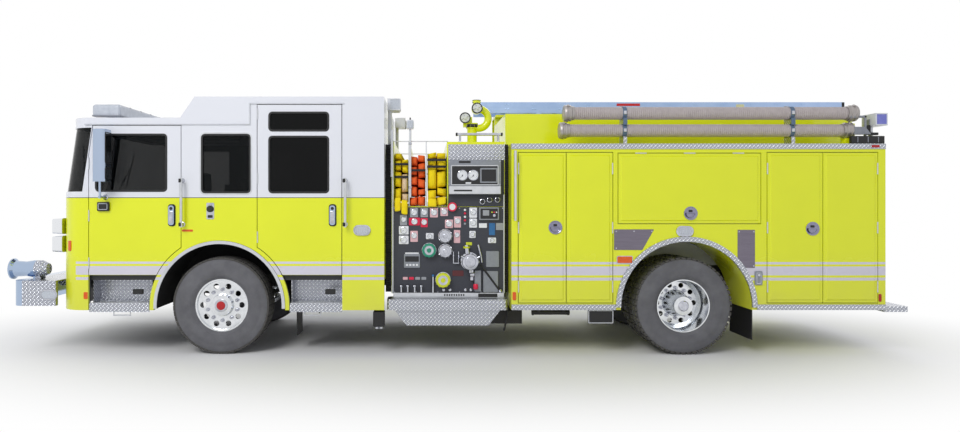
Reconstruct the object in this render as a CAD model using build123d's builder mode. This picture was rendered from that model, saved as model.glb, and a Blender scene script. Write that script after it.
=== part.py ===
"""A custom-cab fire engine, in millimetres: +Z is up, the front points along -X, its left side faces -Y."""

import os
from math import cos, radians, sin

from build123d import *

os.makedirs("parts", exist_ok=True)

# Overall layout, along the vehicle from the siren's nose to the ladder's rear end
front_overhang = 2400
wheelbase = 4997
rear_overhang = 2749
tail_overhang = 2376
front_axle_x = (front_overhang - wheelbase - rear_overhang) / 2
rear_axle_x = front_axle_x + wheelbase
tail_x = rear_axle_x + tail_overhang

# Gaps between pieces
shut_gap = 8
rebate_gap = 6
fit_gap = 0.4

# Wheels and axles
tyre_radius = 525
rim_radius = 286
front_tyre_width = 315
rear_tyre_width = 285
front_track_y = 1015
rear_outer_y = 1068
rear_inner_y = 738
kingpin_y = 925
kingpin_radius = 25
spindle_radius = 42

# Chassis
rail_outer_y = 430
rail_flange = 80
rail_web = 10
rail_height = 250
rail_top_z = 910
rail_bottom_z = rail_top_z - rail_height
rail_rear_x = rear_axle_x + 2050

# Cab shell
cab_half = 1220
cab_front_x = front_axle_x - 1764
rail_front_x = cab_front_x
cab_rear_x = front_axle_x + 1771
cab_bottom_z = 485
cab_wall = 56
cab_frame = 34
cab_corner = 300
sill_z = 1739
eave_z = 2475
low_roof_z = 2554
high_eave_z = 2700
high_roof_z = 2780
screen_rake = 107
roof_step_x = front_axle_x - 422
roof_step_run = 155
floor_top_z = 833
floor_thickness = 30
tunnel_half = 480
tunnel_wall = 24
tunnel_top_z = 975

# Cab doors: the front door's edges, the crew door's edges, and where both end below
door_thickness = 50
door_bottom_z = 863
front_door_x = (front_axle_x - 1400, front_axle_x - 415)
front_door_lean = 45
crew_door_x = (front_axle_x + 410, front_axle_x + 1312)
frame_lip = 32
window_radius = 42
glass_thickness = 8

# Wheel arches
front_arch_radius = 708
front_lip_radius = 750
rear_arch_radius = 700
rear_lip_radius = 753
liner_thickness = 12

# Bumper
bumper_front_x = front_axle_x - 2240
bumper_z = (530, 800)

# Pump module
pump_x = (front_axle_x + 1838, front_axle_x + 3090)
pump_half = 1020
pump_bottom_z = 640
pump_top_z = 2313
pump_wall = 24
bay_floor_z = 1600
bay_edges = [28, 199, 389, 623]
bay_wall = 10

# Body
body_x = (front_axle_x + 3132, front_axle_x + 7123)
body_half = 1270
bank_depth = 600
body_bottom_z = 496
body_top_z = 2270
leaf_thickness = 50
raised_panel = 10
# Compartments: name, front edge, split between its two leaves, rear edge, bottom, top; no split means one lift door
compartments = [
    ("front", 3208, 3716, 4210, 573, 2173),
    ("middle", 4273, None, 5789, 1419, 2165),
    ("rear", 5863, 6454, 7037, 573, 2173),
]
latch_radius = 72
hosebed_wall = 30
hosebed_half = body_half - bank_depth - fit_gap
hosebed_top_z = 2663
ladder_deck_z = 2800
ladder_deck_y = (500, 1000)
tank_foot_half = 560
tank_shoulder_z = 1120
hosebed_floor_z = 1900

left_side = Plane.XZ


def box(x, y, z, mode=Mode.ADD):
    """A block between the two ends given along each axis."""
    with Locations(((x[0] + x[1]) / 2, (y[0] + y[1]) / 2, (z[0] + z[1]) / 2)):
        Box(x[1] - x[0], y[1] - y[0], z[1] - z[0], mode=mode)


def both_sides(y):
    return (-y, y)


# Chassis: two channel rails facing inwards, joined by cross-members
cross_members = [-1500, -900, 330, 1650, 3000, 4400, 5600, 6900]
cab_mounts = [-1300, 1200]
outriggers = [3300, 4100, 5950, 6900]
board_hangers = [1950, 2800]
board_inner_y = 960
with BuildPart() as chassis_frame:
    with BuildSketch(Plane.YZ.offset(rail_front_x)):
        with Locations((rail_outer_y - rail_flange / 2, rail_top_z - rail_height / 2)):
            Rectangle(rail_flange, rail_height)
        with Locations((rail_outer_y - rail_flange / 2 - rail_web, rail_top_z - rail_height / 2)):
            Rectangle(rail_flange, rail_height - 2 * rail_web, mode=Mode.SUBTRACT)
    extrude(amount=rail_rear_x - rail_front_x)
    # Cab mounts, outriggers for the banks, and hangers for the running boards, each against the rail's web
    bracket_y = rail_outer_y + fit_gap
    for station in cab_mounts:
        box((front_axle_x + station - 50, front_axle_x + station + 50),
            (bracket_y, rail_outer_y + 110), (740, floor_top_z - floor_thickness))
    for station in outriggers:
        box((front_axle_x + station - 40, front_axle_x + station + 40),
            (bracket_y, body_half - bank_depth), (770, 860))
    for station in board_hangers:
        x = (front_axle_x + station - 30, front_axle_x + station + 30)
        box(x, (bracket_y, rail_outer_y + 40), (520, 720))
        box(x, (bracket_y, board_inner_y), (520, 580))
    mirror(about=Plane.XZ)
    for station in cross_members:
        x = front_axle_x + station
        box((x - 40, x + 40), both_sides(rail_outer_y - rail_web - fit_gap), (rail_bottom_z + 40, rail_bottom_z + 110))

engine_bottom_z = rail_bottom_z + 110
with BuildPart() as engine:
    box((front_axle_x - 1000, front_axle_x + 430), both_sides(340), (engine_bottom_z, 1190))
    box((front_axle_x - 850, front_axle_x + 280), both_sides(260), (rail_bottom_z - 20, engine_bottom_z))

# Axles with their leaf springs: the beam ends in a boss that holds the kingpin
spring_y = rail_outer_y - rail_flange / 2
spring_width = 76
axle_beam_z = (tyre_radius - 60, tyre_radius + 20)
boss_radius = 48
boss_height = 130
with BuildPart() as axles:
    box((front_axle_x - 50, front_axle_x + 50), both_sides(kingpin_y - 20), axle_beam_z)
    for side in (-1, 1):
        with Locations((front_axle_x, side * kingpin_y, tyre_radius - boss_height / 2)):
            Cylinder(boss_radius, boss_height, align=(Align.CENTER, Align.CENTER, Align.MIN))
    for side in (-1, 1):
        with Locations((front_axle_x, side * kingpin_y, tyre_radius - boss_height)):
            Cylinder(kingpin_radius + fit_gap, 2 * boss_height,
                     align=(Align.CENTER, Align.CENTER, Align.MIN), mode=Mode.SUBTRACT)
    with Locations((rear_axle_x, 0, tyre_radius)):
        Cylinder(75, 2 * 640, rotation=(90, 0, 0))
        Sphere(190)
    with Locations((rear_axle_x, 0, tyre_radius)):
        Cylinder(spindle_radius, 2 * (rear_outer_y + 95), rotation=(90, 0, 0))
    # Each spring is a bowed pack that hangs below its rail, from one shackle to the other
    for axle_x, half_length, seat_z in (
        (front_axle_x, 780, axle_beam_z[1]),
        (rear_axle_x, 700, tyre_radius + 70),
    ):
        end_z = rail_bottom_z - 22
        for side in (-1, 1):
            with BuildSketch(Plane.XZ.offset(-side * spring_y)):
                with BuildLine():
                    ThreePointArc((axle_x - half_length, end_z), (axle_x, seat_z), (axle_x + half_length, end_z))
                    Line((axle_x + half_length, end_z), (axle_x + half_length, end_z + 22))
                    ThreePointArc((axle_x + half_length, end_z + 22), (axle_x, seat_z + 40),
                                  (axle_x - half_length, end_z + 22))
                    Line((axle_x - half_length, end_z + 22), (axle_x - half_length, end_z))
                make_face()
            extrude(amount=spring_width / 2, both=True)


def knuckle(side):
    """Yoke round the beam's boss, with its kingpin, brake plate and wheel spindle; side is -1 on the left."""
    ear_z = boss_height / 2 + 6
    with BuildPart() as made:
        for z in (tyre_radius + ear_z, tyre_radius - ear_z - 26):
            with Locations((front_axle_x, side * (kingpin_y + 20), z)):
                Box(96, 130, 26, align=(Align.CENTER, Align.CENTER, Align.MIN))
        with Locations((front_axle_x, side * kingpin_y, tyre_radius)):
            Cylinder(kingpin_radius, 2 * ear_z + 40)
        with Locations((front_axle_x, side * (kingpin_y + 72), tyre_radius)):
            Box(96, 26, 2 * ear_z + 52)
        with Locations((front_axle_x, side * (kingpin_y + 125), tyre_radius)):
            Cylinder(spindle_radius, 110, rotation=(90, 0, 0))
    return made


knuckle_left = knuckle(-1)
knuckle_right = knuckle(1)


def tyre(axle_x, centres, width):
    """Tyres on one axle line: a bead at the rim, bowed walls, rounded shoulders and a flat tread."""
    shoulder = 46
    half = width / 2
    bead_half = half - 34
    bead_radius = rim_radius + fit_gap
    belly_radius = (rim_radius + tyre_radius) / 2
    with BuildPart() as made:
        for centre in centres:
            with BuildSketch(Plane.XY.offset(tyre_radius)):
                with BuildLine():
                    Polyline((axle_x + bead_radius, centre - bead_half), (axle_x + bead_radius + 26, centre - half + 14),
                             (axle_x + belly_radius, centre - half),
                             (axle_x + tyre_radius - shoulder, centre - half + 10),
                             (axle_x + tyre_radius - 8, centre - half + 30),
                             (axle_x + tyre_radius, centre - half + 62),
                             (axle_x + tyre_radius, centre + half - 62),
                             (axle_x + tyre_radius - 8, centre + half - 30),
                             (axle_x + tyre_radius - shoulder, centre + half - 10),
                             (axle_x + belly_radius, centre + half),
                             (axle_x + bead_radius + 26, centre + half - 14),
                             (axle_x + bead_radius, centre + bead_half),
                             (axle_x + bead_radius, centre - bead_half))
                make_face()
            revolve(axis=Axis((axle_x, 0, tyre_radius), (0, 1, 0)))
    return made


hand_holes = 10
hand_hole_radius = 31
hand_hole_circle = 212
rim_half = 118
barrel_thickness = 12


def front_rim(side):
    """Disc wheel whose face stands near the outer flange, bored for the hub, with the hub's nose in front."""
    def at(radius, out):
        return (front_axle_x + radius, side * (front_track_y + out))
    face = 92
    with BuildPart() as made:
        with BuildSketch(Plane.XY.offset(tyre_radius)):
            with BuildLine():
                Polyline(at(spindle_radius + fit_gap, 1), at(120, 1), at(150, face - 40), at(250, face - 22),
                         at(rim_radius - barrel_thickness, face - 40), at(rim_radius - barrel_thickness, -rim_half),
                         at(rim_radius, -rim_half), at(rim_radius, rim_half), at(rim_radius - 16, rim_half),
                         at(rim_radius - 22, face), at(250, face), at(150, face - 12), at(125, face - 12),
                         at(112, face + 40), at(0, face + 48), at(0, face + 4), at(spindle_radius + fit_gap, face + 4),
                         at(spindle_radius + fit_gap, 1))
            make_face()
        revolve(axis=Axis((front_axle_x, 0, tyre_radius), (0, 1, 0)))
        hole_plane = Plane(origin=(front_axle_x, side * front_track_y, tyre_radius), x_dir=(1, 0, 0),
                           z_dir=(0, side, 0))
        with BuildSketch(hole_plane):
            with PolarLocations(hand_hole_circle, hand_holes):
                Circle(hand_hole_radius)
        extrude(amount=face + 30, mode=Mode.SUBTRACT)
    return made


def rear_rims(side):
    """Twin disc wheels bolted face to face on one hub: the outer one is dished inwards."""
    def at(radius, out):
        return (rear_axle_x + radius, side * out)
    seam = (rear_outer_y + rear_inner_y) / 2
    bore = spindle_radius + fit_gap
    with BuildPart() as made:
        with BuildSketch(Plane.XY.offset(tyre_radius)):
            with BuildLine():
                Polyline(at(bore, seam - 75), at(150, seam - 75), at(165, seam - 14), at(245, seam - 14),
                         at(rim_radius - barrel_thickness, seam - 60),
                         at(rim_radius - barrel_thickness, rear_inner_y - rim_half),
                         at(rim_radius, rear_inner_y - rim_half), at(rim_radius, rear_inner_y + rim_half),
                         at(rim_radius - 16, rear_inner_y + rim_half), at(245, seam), at(245, seam + 14),
                         at(rim_radius - 16, rear_outer_y - rim_half), at(rim_radius, rear_outer_y - rim_half),
                         at(rim_radius, rear_outer_y + rim_half),
                         at(rim_radius - barrel_thickness, rear_outer_y + rim_half),
                         at(rim_radius - barrel_thickness, seam + 60), at(235, seam + 28), at(150, seam + 28),
                         at(135, seam + 90), at(100, rear_outer_y + 118), at(0, rear_outer_y + 126),
                         at(0, rear_outer_y + 100), at(bore, rear_outer_y + 100), at(bore, seam - 75))
            make_face()
        revolve(axis=Axis((rear_axle_x, 0, tyre_radius), (0, 1, 0)))
        hole_plane = Plane(origin=(rear_axle_x, side * (seam - 60), tyre_radius), x_dir=(1, 0, 0),
                           z_dir=(0, side, 0))
        with BuildSketch(hole_plane):
            with PolarLocations(hand_hole_circle - 8, hand_holes):
                Circle(hand_hole_radius - 3)
        extrude(amount=120, mode=Mode.SUBTRACT)
    return made


front_tyre_left = tyre(front_axle_x, [-front_track_y], front_tyre_width)
front_tyre_right = tyre(front_axle_x, [front_track_y], front_tyre_width)
rear_tyres_left = tyre(rear_axle_x, [-rear_outer_y, -rear_inner_y], rear_tyre_width)
rear_tyres_right = tyre(rear_axle_x, [rear_outer_y, rear_inner_y], rear_tyre_width)
front_rim_left = front_rim(-1)
front_rim_right = front_rim(1)
rear_rims_left = rear_rims(-1)
rear_rims_right = rear_rims(1)


def cab_plan(inset, rake, z):
    """The cab's outline seen from above at a height, its two front corners rounded."""
    front = cab_front_x + inset + rake
    half = cab_half - inset
    with BuildSketch(Plane.XY.offset(z)) as plan:
        with BuildLine():
            FilletPolyline((cab_rear_x, half), (front, half), (front, -half), (cab_rear_x, -half),
                           radius=cab_corner - inset)
            Line((cab_rear_x, -half), (cab_rear_x, half))
        make_face()
    return plan.sketch


def cab_block(inset, bottom_z=cab_bottom_z):
    """The cab's closed outer form up to the eave, drawn in by the inset: upright to the sill, then raked."""
    with BuildPart() as block:
        extrude(cab_plan(inset, 0, bottom_z), amount=sill_z - bottom_z)
        loft([cab_plan(inset, 0, sill_z), cab_plan(inset, screen_rake, eave_z)], ruled=True)
    return block.part


cab_skin = cab_block(0)
cab_inside = cab_block(cab_wall)

# Windscreen: its rear edge runs up the line where the rounded corner meets the flat side
screen_bottom_z = sill_z + 20
screen_top_z = eave_z - 28
screen_post = 60
rake_per_mm = screen_rake / (eave_z - sill_z)
screen_edge_x = cab_front_x + cab_corner


def screen_region(grow, post):
    """The windscreen's two openings seen from the side, through the whole cab, with the post between them."""
    low_z = screen_bottom_z - grow
    high_z = screen_top_z + grow
    with BuildPart() as region:
        with BuildSketch(left_side):
            Polygon((cab_front_x - 50, low_z), (screen_edge_x + rake_per_mm * (low_z - sill_z) - 12 + grow, low_z),
                    (screen_edge_x + rake_per_mm * (high_z - sill_z) - 12 + grow, high_z),
                    (cab_front_x - 50, high_z), align=None)
        extrude(amount=cab_half + 20, both=True)
        box((cab_front_x - 60, cab_front_x + cab_corner), both_sides(post / 2), (low_z - 10, high_z + 10),
            mode=Mode.SUBTRACT)
    return region.part


door_lean_z = 2150
grille_half = 560
grille_z = (960, 1640)
with BuildPart() as cab_front:
    add(cab_skin)
    add(cab_inside, mode=Mode.SUBTRACT)
    with BuildSketch(left_side):
        Polygon((cab_front_x - 50, cab_bottom_z - 10), (front_door_x[0] - shut_gap, cab_bottom_z - 10),
                (front_door_x[0] - shut_gap, door_lean_z),
                (front_door_x[0] - shut_gap + front_door_lean, eave_z),
                (cab_front_x - 50, eave_z), align=None)
    extrude(amount=cab_half + 20, both=True, mode=Mode.INTERSECT)
    add(screen_region(0, screen_post), mode=Mode.SUBTRACT)
    box((cab_front_x - 1, cab_front_x + cab_wall + 1), both_sides(rail_outer_y + 20),
        (rail_bottom_z - 10, rail_top_z + 10), mode=Mode.SUBTRACT)

with BuildPart() as cab_glass:
    add(cab_block(14, sill_z - 20))
    add(cab_block(14 + glass_thickness, sill_z - 20), mode=Mode.SUBTRACT)
    add(screen_region(-fit_gap, screen_post + 2 * fit_gap), mode=Mode.INTERSECT)


def arched(axle_x, radius, mode):
    """Cuts or adds a cylinder right across the vehicle, round an axle."""
    with Locations((axle_x, 0, tyre_radius)):
        Cylinder(radius, 4 * cab_half, rotation=(90, 0, 0), mode=mode)


def window(plane, x, z, depth, radius=window_radius, mode=Mode.SUBTRACT, grow=0):
    with BuildSketch(plane) as opening:
        with Locations(((x[0] + x[1]) / 2, (z[0] + z[1]) / 2)):
            RectangleRounded(x[1] - x[0] + 2 * grow, z[1] - z[0] + 2 * grow, radius + grow)
    extrude(opening.sketch, amount=-depth, mode=mode)


fixed_window_x = (front_axle_x - 197, front_axle_x + 338)
fixed_window_z = (1740, 2381)
front_window_x = (front_axle_x - 1335, front_axle_x - 559)
front_window_z = (1756, 2382)
crew_window_x = (front_axle_x + 526, front_axle_x + 1180)
crew_window_z = (1740, 2359)
crew_upper_z = (2404, 2618)
crew_door_top_z = high_eave_z - shut_gap
front_door_top_z = eave_z - shut_gap
roof_slope_x = roof_step_x + roof_step_run * (high_eave_z - eave_z) / (high_roof_z - low_roof_z)
panel_front_x = front_door_x[1] + shut_gap
panel_rear_x = crew_door_x[0] - shut_gap
pillar_x = crew_door_x[1] + shut_gap
wall_inner_y = cab_half - cab_wall
frame_inner_y = wall_inner_y - cab_frame

with BuildPart() as cab_walls:
    # Outer skin of the fixed crew panel and of the rear pillar, on the left side
    with BuildSketch(left_side.offset(cab_half)):
        Polygon((panel_front_x, tyre_radius), (panel_front_x, eave_z + 20), (roof_slope_x, high_eave_z),
                (panel_rear_x, high_eave_z), (panel_rear_x, tyre_radius), align=None)
        with Locations((front_axle_x, tyre_radius)):
            Circle(front_lip_radius)
            Rectangle(2 * front_lip_radius, tyre_radius - cab_bottom_z, align=(Align.CENTER, Align.MAX))
        Polygon((pillar_x, cab_bottom_z), (cab_rear_x, cab_bottom_z), (cab_rear_x, high_eave_z),
                (pillar_x, high_eave_z), align=None)
        with Locations((front_axle_x, cab_bottom_z)):
            Rectangle(2 * front_lip_radius + 20, 2 * front_lip_radius, align=(Align.CENTER, Align.MAX),
                      mode=Mode.SUBTRACT)
        with Locations((front_axle_x, tyre_radius)):
            Circle(front_arch_radius, mode=Mode.SUBTRACT)
            Rectangle(2 * front_arch_radius, tyre_radius, align=(Align.CENTER, Align.MAX), mode=Mode.SUBTRACT)
    extrude(amount=-cab_wall)
    # Door frames behind the skin: one plate with a lip round each door
    with BuildSketch(left_side.offset(wall_inner_y)):
        Polygon((front_door_x[0] - 40, floor_top_z - floor_thickness), (front_door_x[0] - 40, sill_z),
                (front_door_x[0] + front_door_lean + 4, eave_z), (panel_front_x, eave_z),
                (panel_front_x, eave_z + 20), (roof_slope_x, high_eave_z),
                (cab_rear_x, high_eave_z), (cab_rear_x, floor_top_z - floor_thickness), align=None)
        Polygon((front_door_x[0] + frame_lip, door_bottom_z + frame_lip),
                (front_door_x[0] + frame_lip, door_lean_z),
                (front_door_x[0] + frame_lip + front_door_lean, eave_z - frame_lip),
                (front_door_x[1] - frame_lip, eave_z - frame_lip),
                (front_door_x[1] - frame_lip, door_bottom_z + frame_lip), align=None, mode=Mode.SUBTRACT)
        with Locations(((crew_door_x[0] + crew_door_x[1]) / 2, (door_bottom_z + crew_door_top_z) / 2)):
            Rectangle(crew_door_x[1] - crew_door_x[0] - 2 * frame_lip,
                      crew_door_top_z - door_bottom_z - 2 * frame_lip, mode=Mode.SUBTRACT)
        with Locations((front_axle_x, tyre_radius)):
            Circle(front_lip_radius + shut_gap + frame_lip)
            Circle(front_arch_radius, mode=Mode.SUBTRACT)
        with Locations((front_axle_x, floor_top_z - floor_thickness)):
            Rectangle(3 * front_lip_radius, 2 * front_lip_radius, align=(Align.CENTER, Align.MAX),
                      mode=Mode.SUBTRACT)
    extrude(amount=-cab_frame)
    window(left_side.offset(cab_half), fixed_window_x, fixed_window_z, cab_wall + cab_frame)
    mirror(about=Plane.XZ)
    box((cab_rear_x - cab_wall, cab_rear_x), both_sides(frame_inner_y - fit_gap),
        (floor_top_z - floor_thickness, high_eave_z))
    box((cab_rear_x - cab_wall - 1, cab_rear_x + 1), both_sides(tunnel_half - tunnel_wall),
        (rail_bottom_z, tunnel_top_z - tunnel_wall), mode=Mode.SUBTRACT)

glass_y = cab_half - 16
with BuildPart(mode=Mode.PRIVATE) as fixed_panes:
    window(left_side.offset(glass_y), fixed_window_x, fixed_window_z, glass_thickness, mode=Mode.ADD,
           grow=-fit_gap)
    mirror(about=Plane.XZ)
cab_glass.part = cab_glass.part + fixed_panes.part

# Roof: a low front part, a slope, and a raised crew part, 40 thick, with rounded upper edges
roof_thickness = 40
roof_front_x = cab_front_x + screen_rake
with BuildPart() as cab_roof:
    with BuildSketch(left_side):
        Polygon((roof_front_x - 50, eave_z), (roof_front_x - 50, low_roof_z), (roof_step_x, low_roof_z),
                (roof_step_x + roof_step_run, high_roof_z), (cab_rear_x + 50, high_roof_z),
                (cab_rear_x + 50, high_eave_z), (roof_slope_x, high_eave_z), (panel_front_x, eave_z + 20),
                (panel_front_x, eave_z), align=None)
    extrude(amount=cab_half + 50, both=True)
    extrude(cab_plan(0, screen_rake, eave_z - 50), amount=high_roof_z - eave_z + 100, mode=Mode.INTERSECT)
    with BuildSketch(left_side):
        Polygon((roof_front_x + 80, eave_z - 10), (roof_front_x + 80, low_roof_z - roof_thickness),
                (roof_step_x + 20, low_roof_z - roof_thickness),
                (roof_step_x + roof_step_run + 20, high_roof_z - roof_thickness),
                (cab_rear_x - cab_wall, high_roof_z - roof_thickness),
                (cab_rear_x - cab_wall, eave_z - 10), align=None)
    extrude(amount=frame_inner_y - 40, both=True, mode=Mode.SUBTRACT)

# Floor plates round the engine hood, and the liners of the two wheel wells
hood_x = (front_axle_x - 1250, front_axle_x + 950)
hood_top_z = 1290
inside_front_x = cab_front_x + cab_wall
inside_rear_x = cab_rear_x - cab_wall


def tunnel(inset, mode):
    with BuildSketch(left_side) as profile:
        Polygon((inside_front_x, floor_top_z - floor_thickness - inset),
                (inside_front_x, tunnel_top_z - inset), (hood_x[0] + inset, tunnel_top_z - inset),
                (hood_x[0] + inset, hood_top_z - inset), (hood_x[1] - inset, hood_top_z - inset),
                (hood_x[1] - inset, tunnel_top_z - inset), (inside_rear_x, tunnel_top_z - inset),
                (inside_rear_x, floor_top_z - floor_thickness - inset), align=None)
    extrude(profile.sketch, amount=tunnel_half - inset, both=True, mode=mode)


with BuildPart() as engine_hood:
    tunnel(0, Mode.ADD)
    tunnel(tunnel_wall, Mode.SUBTRACT)
with BuildPart() as wheel_liners:
    with Locations((front_axle_x, 0, tyre_radius)):
        Cylinder(front_arch_radius + liner_thickness, 2 * frame_inner_y, rotation=(90, 0, 0))
        Cylinder(front_arch_radius, 2 * frame_inner_y, rotation=(90, 0, 0), mode=Mode.SUBTRACT)
    box((front_axle_x - 900, front_axle_x + 900), both_sides(frame_inner_y), (-400, cab_bottom_z + 5),
        mode=Mode.SUBTRACT)
    box((front_axle_x - 900, front_axle_x + 900), both_sides(tunnel_half + fit_gap), (-400, 2 * hood_top_z),
        mode=Mode.SUBTRACT)
with BuildPart() as cab_floor:
    with BuildSketch(Plane.XY.offset(floor_top_z - floor_thickness)):
        with BuildLine():
            FilletPolyline((inside_rear_x, frame_inner_y), (inside_front_x, frame_inner_y),
                           (inside_front_x, -frame_inner_y), (inside_rear_x, -frame_inner_y),
                           radius=cab_corner)
            Line((inside_rear_x, -frame_inner_y), (inside_rear_x, frame_inner_y))
        make_face()
    extrude(amount=floor_thickness)
    box((inside_front_x - 1, inside_rear_x + 1), both_sides(tunnel_half + fit_gap),
        (floor_top_z - floor_thickness - 1, floor_top_z + 1), mode=Mode.SUBTRACT)
    arched(front_axle_x, front_arch_radius + liner_thickness + fit_gap, Mode.SUBTRACT)
    add(engine_hood.part)
    add(wheel_liners.part)

# Cab interior: seats on their risers, and the dashboard with its column and steering wheel
# Seats: front edge of the cushion, centre across, cushion height, +1 faces forwards and -1 faces back
seats = [
    (-900, -800, 1240, 1),
    (-900, 800, 1240, 1),
    (150, -800, 1330, -1),
    (150, 800, 1330, -1),
    (1170, -700, 1240, 1),
    (1170, 700, 1240, 1),
]
seat_width = 470
with BuildPart() as cab_interior:
    for station, y, top_z, facing in seats:
        front = front_axle_x + station
        near, far = sorted((front, front + facing * 440))
        back = sorted((front + facing * 440, front + facing * 540))
        box((near, far), (y - seat_width / 2, y + seat_width / 2), (top_z - 110, top_z))
        box(back, (y - seat_width / 2, y + seat_width / 2), (top_z - 60, top_z + 640))
        box((near + 60, far - 30), (y - 180, y + 180), (floor_top_z, top_z - 110))
    arched(front_axle_x, front_arch_radius + liner_thickness + 0.5, Mode.SUBTRACT)
    box((inside_front_x + 20, inside_front_x + 330), both_sides(1000), (1480, 1660))
    box((inside_front_x + 20, inside_front_x + 200), both_sides(430), (tunnel_top_z, 1480))
    wheel_plane = Plane(origin=(front_axle_x - 1230, -800, 1560), x_dir=(0, 1, 0),
                        z_dir=(sin(radians(38)), 0, cos(radians(38))))
    with BuildSketch(wheel_plane):
        Circle(225)
        Circle(200, mode=Mode.SUBTRACT)
        Circle(55)
        with PolarLocations(0, 3):
            Rectangle(210, 30, align=(Align.MIN, Align.CENTER))
    extrude(amount=24)
    with BuildSketch(wheel_plane):
        Circle(38)
    extrude(amount=-300)
    box((front_axle_x - 1440, front_axle_x - 1385), (-830, -770), (1340, 1480))

# Bumper: chrome channel with rounded ends, its plated extension back to the cab, and the siren on its deck
siren_y = -900
siren_radius = 95
siren_z = bumper_z[1] + siren_radius + 6
siren_nose_x = front_axle_x - front_overhang
with BuildPart() as bumper:
    with BuildSketch(Plane.XY.offset(bumper_z[0])):
        with BuildLine():
            FilletPolyline((cab_front_x, cab_half - 10), (bumper_front_x, cab_half - 10),
                           (bumper_front_x, -cab_half + 10), (cab_front_x, -cab_half + 10), radius=110)
            Line((cab_front_x, -cab_half + 10), (cab_front_x, cab_half - 10))
        make_face()
    extrude(amount=bumper_z[1] - bumper_z[0])
    box((bumper_front_x + 60, cab_front_x + 10), both_sides(cab_half - 60), (bumper_z[0] - 10, bumper_z[1] - 12),
        mode=Mode.SUBTRACT)
    box((bumper_front_x + 120, rail_front_x), both_sides(rail_outer_y), (rail_bottom_z, bumper_z[1] - 12))
    with BuildSketch(Plane.XY.offset(siren_z)):
        with BuildLine():
            Polyline((siren_nose_x, siren_y), (siren_nose_x, siren_y + 115), (siren_nose_x + 16, siren_y + 115),
                     (siren_nose_x + 40, siren_y + 88), (siren_nose_x + 150, siren_y + 82),
                     (siren_nose_x + 240, siren_y + siren_radius), (siren_nose_x + 330, siren_y + siren_radius),
                     (siren_nose_x + 400, siren_y + 60), (siren_nose_x + 400, siren_y), (siren_nose_x, siren_y))
        make_face()
    revolve(axis=Axis((0, siren_y, siren_z), (1, 0, 0)))
    box((siren_nose_x + 250, siren_nose_x + 320), (siren_y - 50, siren_y + 50), (bumper_z[1] - 12, siren_z))

# Grille: a frame of chrome with horizontal bars, standing on the front wall
grille_depth = 46
bar_height = 26
bar_count = 9
with BuildPart() as grille:
    grille_x = (cab_front_x - grille_depth, cab_front_x)
    box(grille_x, both_sides(grille_half), grille_z)
    box((grille_x[0] - 5, cab_front_x - 10), both_sides(grille_half - 45), (grille_z[0] + 45, grille_z[1] - 45),
        mode=Mode.SUBTRACT)
    bar_pitch = (grille_z[1] - grille_z[0] - 90) / bar_count
    for step in range(bar_count):
        bar_z = grille_z[0] + 45 + bar_pitch * (step + 0.5)
        box((grille_x[0] + 8, cab_front_x - 9), both_sides(grille_half - 44),
            (bar_z - bar_height / 2, bar_z + bar_height / 2))

# Lamps: headlamp pods, marker and warning lamps, rear lamps; half-width across, height and depth of each
headlamp_y = (780, 1080)
lamp_post_radius = 22
with BuildPart() as lamps:
    for low, high in ((1096, 1278), (1294, 1470)):
        with BuildSketch(Plane.YZ.offset(cab_front_x)):
            with Locations((-(headlamp_y[0] + headlamp_y[1]) / 2, (low + high) / 2)):
                RectangleRounded(headlamp_y[1] - headlamp_y[0], high - low, 30)
        extrude(amount=-110, taper=4)
    # Flood lamps on posts over the pump module's front edge and on the body's rear corner
    for x, y, low, top in (
        (pump_x[0] - lamp_post_radius, -pump_half + 120, pump_top_z - 300, 2790),
        (rear_axle_x + 2060, -body_half + 150, body_top_z, 2600),
    ):
        with Locations((x, y, low)):
            Cylinder(lamp_post_radius, top - low - 130, align=(Align.CENTER, Align.CENTER, Align.MIN))
        with Locations((x - lamp_post_radius, y, top)):
            Box(130, 240, 130, align=(Align.MIN, Align.CENTER, Align.MAX))
    mirror(about=Plane.XZ)

lightbar_half = 900
lightbar_x = (front_axle_x - 1522, front_axle_x - 1209)
with BuildPart() as lightbar:
    with BuildSketch(Plane.YZ.offset(lightbar_x[0])):
        with Locations((0, 2675)):
            RectangleRounded(2 * lightbar_half, 140, 40)
    extrude(amount=lightbar_x[1] - lightbar_x[0])
    fillet(lightbar.edges().filter_by(Axis.Z), 30)
    for y in (-600, 600):
        box((lightbar_x[0] + 60, lightbar_x[1] - 60), (y - 60, y + 60), (low_roof_z, 2610))


def cab_door(outline, panes, arch_radius):
    """A door as thick as its whole wall, its lower corner cut clear of the wheel arch, its panes open."""
    with BuildPart() as made:
        with BuildSketch(left_side.offset(cab_half)):
            Polygon(*outline, align=None)
            with Locations((front_axle_x, tyre_radius)):
                Circle(arch_radius, mode=Mode.SUBTRACT)
        extrude(amount=-door_thickness)
        for x, z in panes:
            window(left_side.offset(cab_half), x, z, door_thickness)
    return made


door_arch_radius = front_lip_radius + shut_gap
front_door_outline = [
    (front_door_x[0], door_bottom_z),
    (front_door_x[0], door_lean_z),
    (front_door_x[0] + front_door_lean, front_door_top_z),
    (front_door_x[1], front_door_top_z),
    (front_door_x[1], door_bottom_z),
]
crew_door_outline = [
    (crew_door_x[0], door_bottom_z),
    (crew_door_x[0], crew_door_top_z),
    (crew_door_x[1], crew_door_top_z),
    (crew_door_x[1], door_bottom_z),
]
front_panes = [(front_window_x, front_window_z)]
crew_panes = [(crew_window_x, crew_window_z), (crew_window_x, crew_upper_z)]


def door_glass(panes):
    with BuildPart() as made:
        for x, z in panes:
            window(left_side.offset(glass_y), x, z, glass_thickness, mode=Mode.ADD, grow=-fit_gap)
    return made


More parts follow.
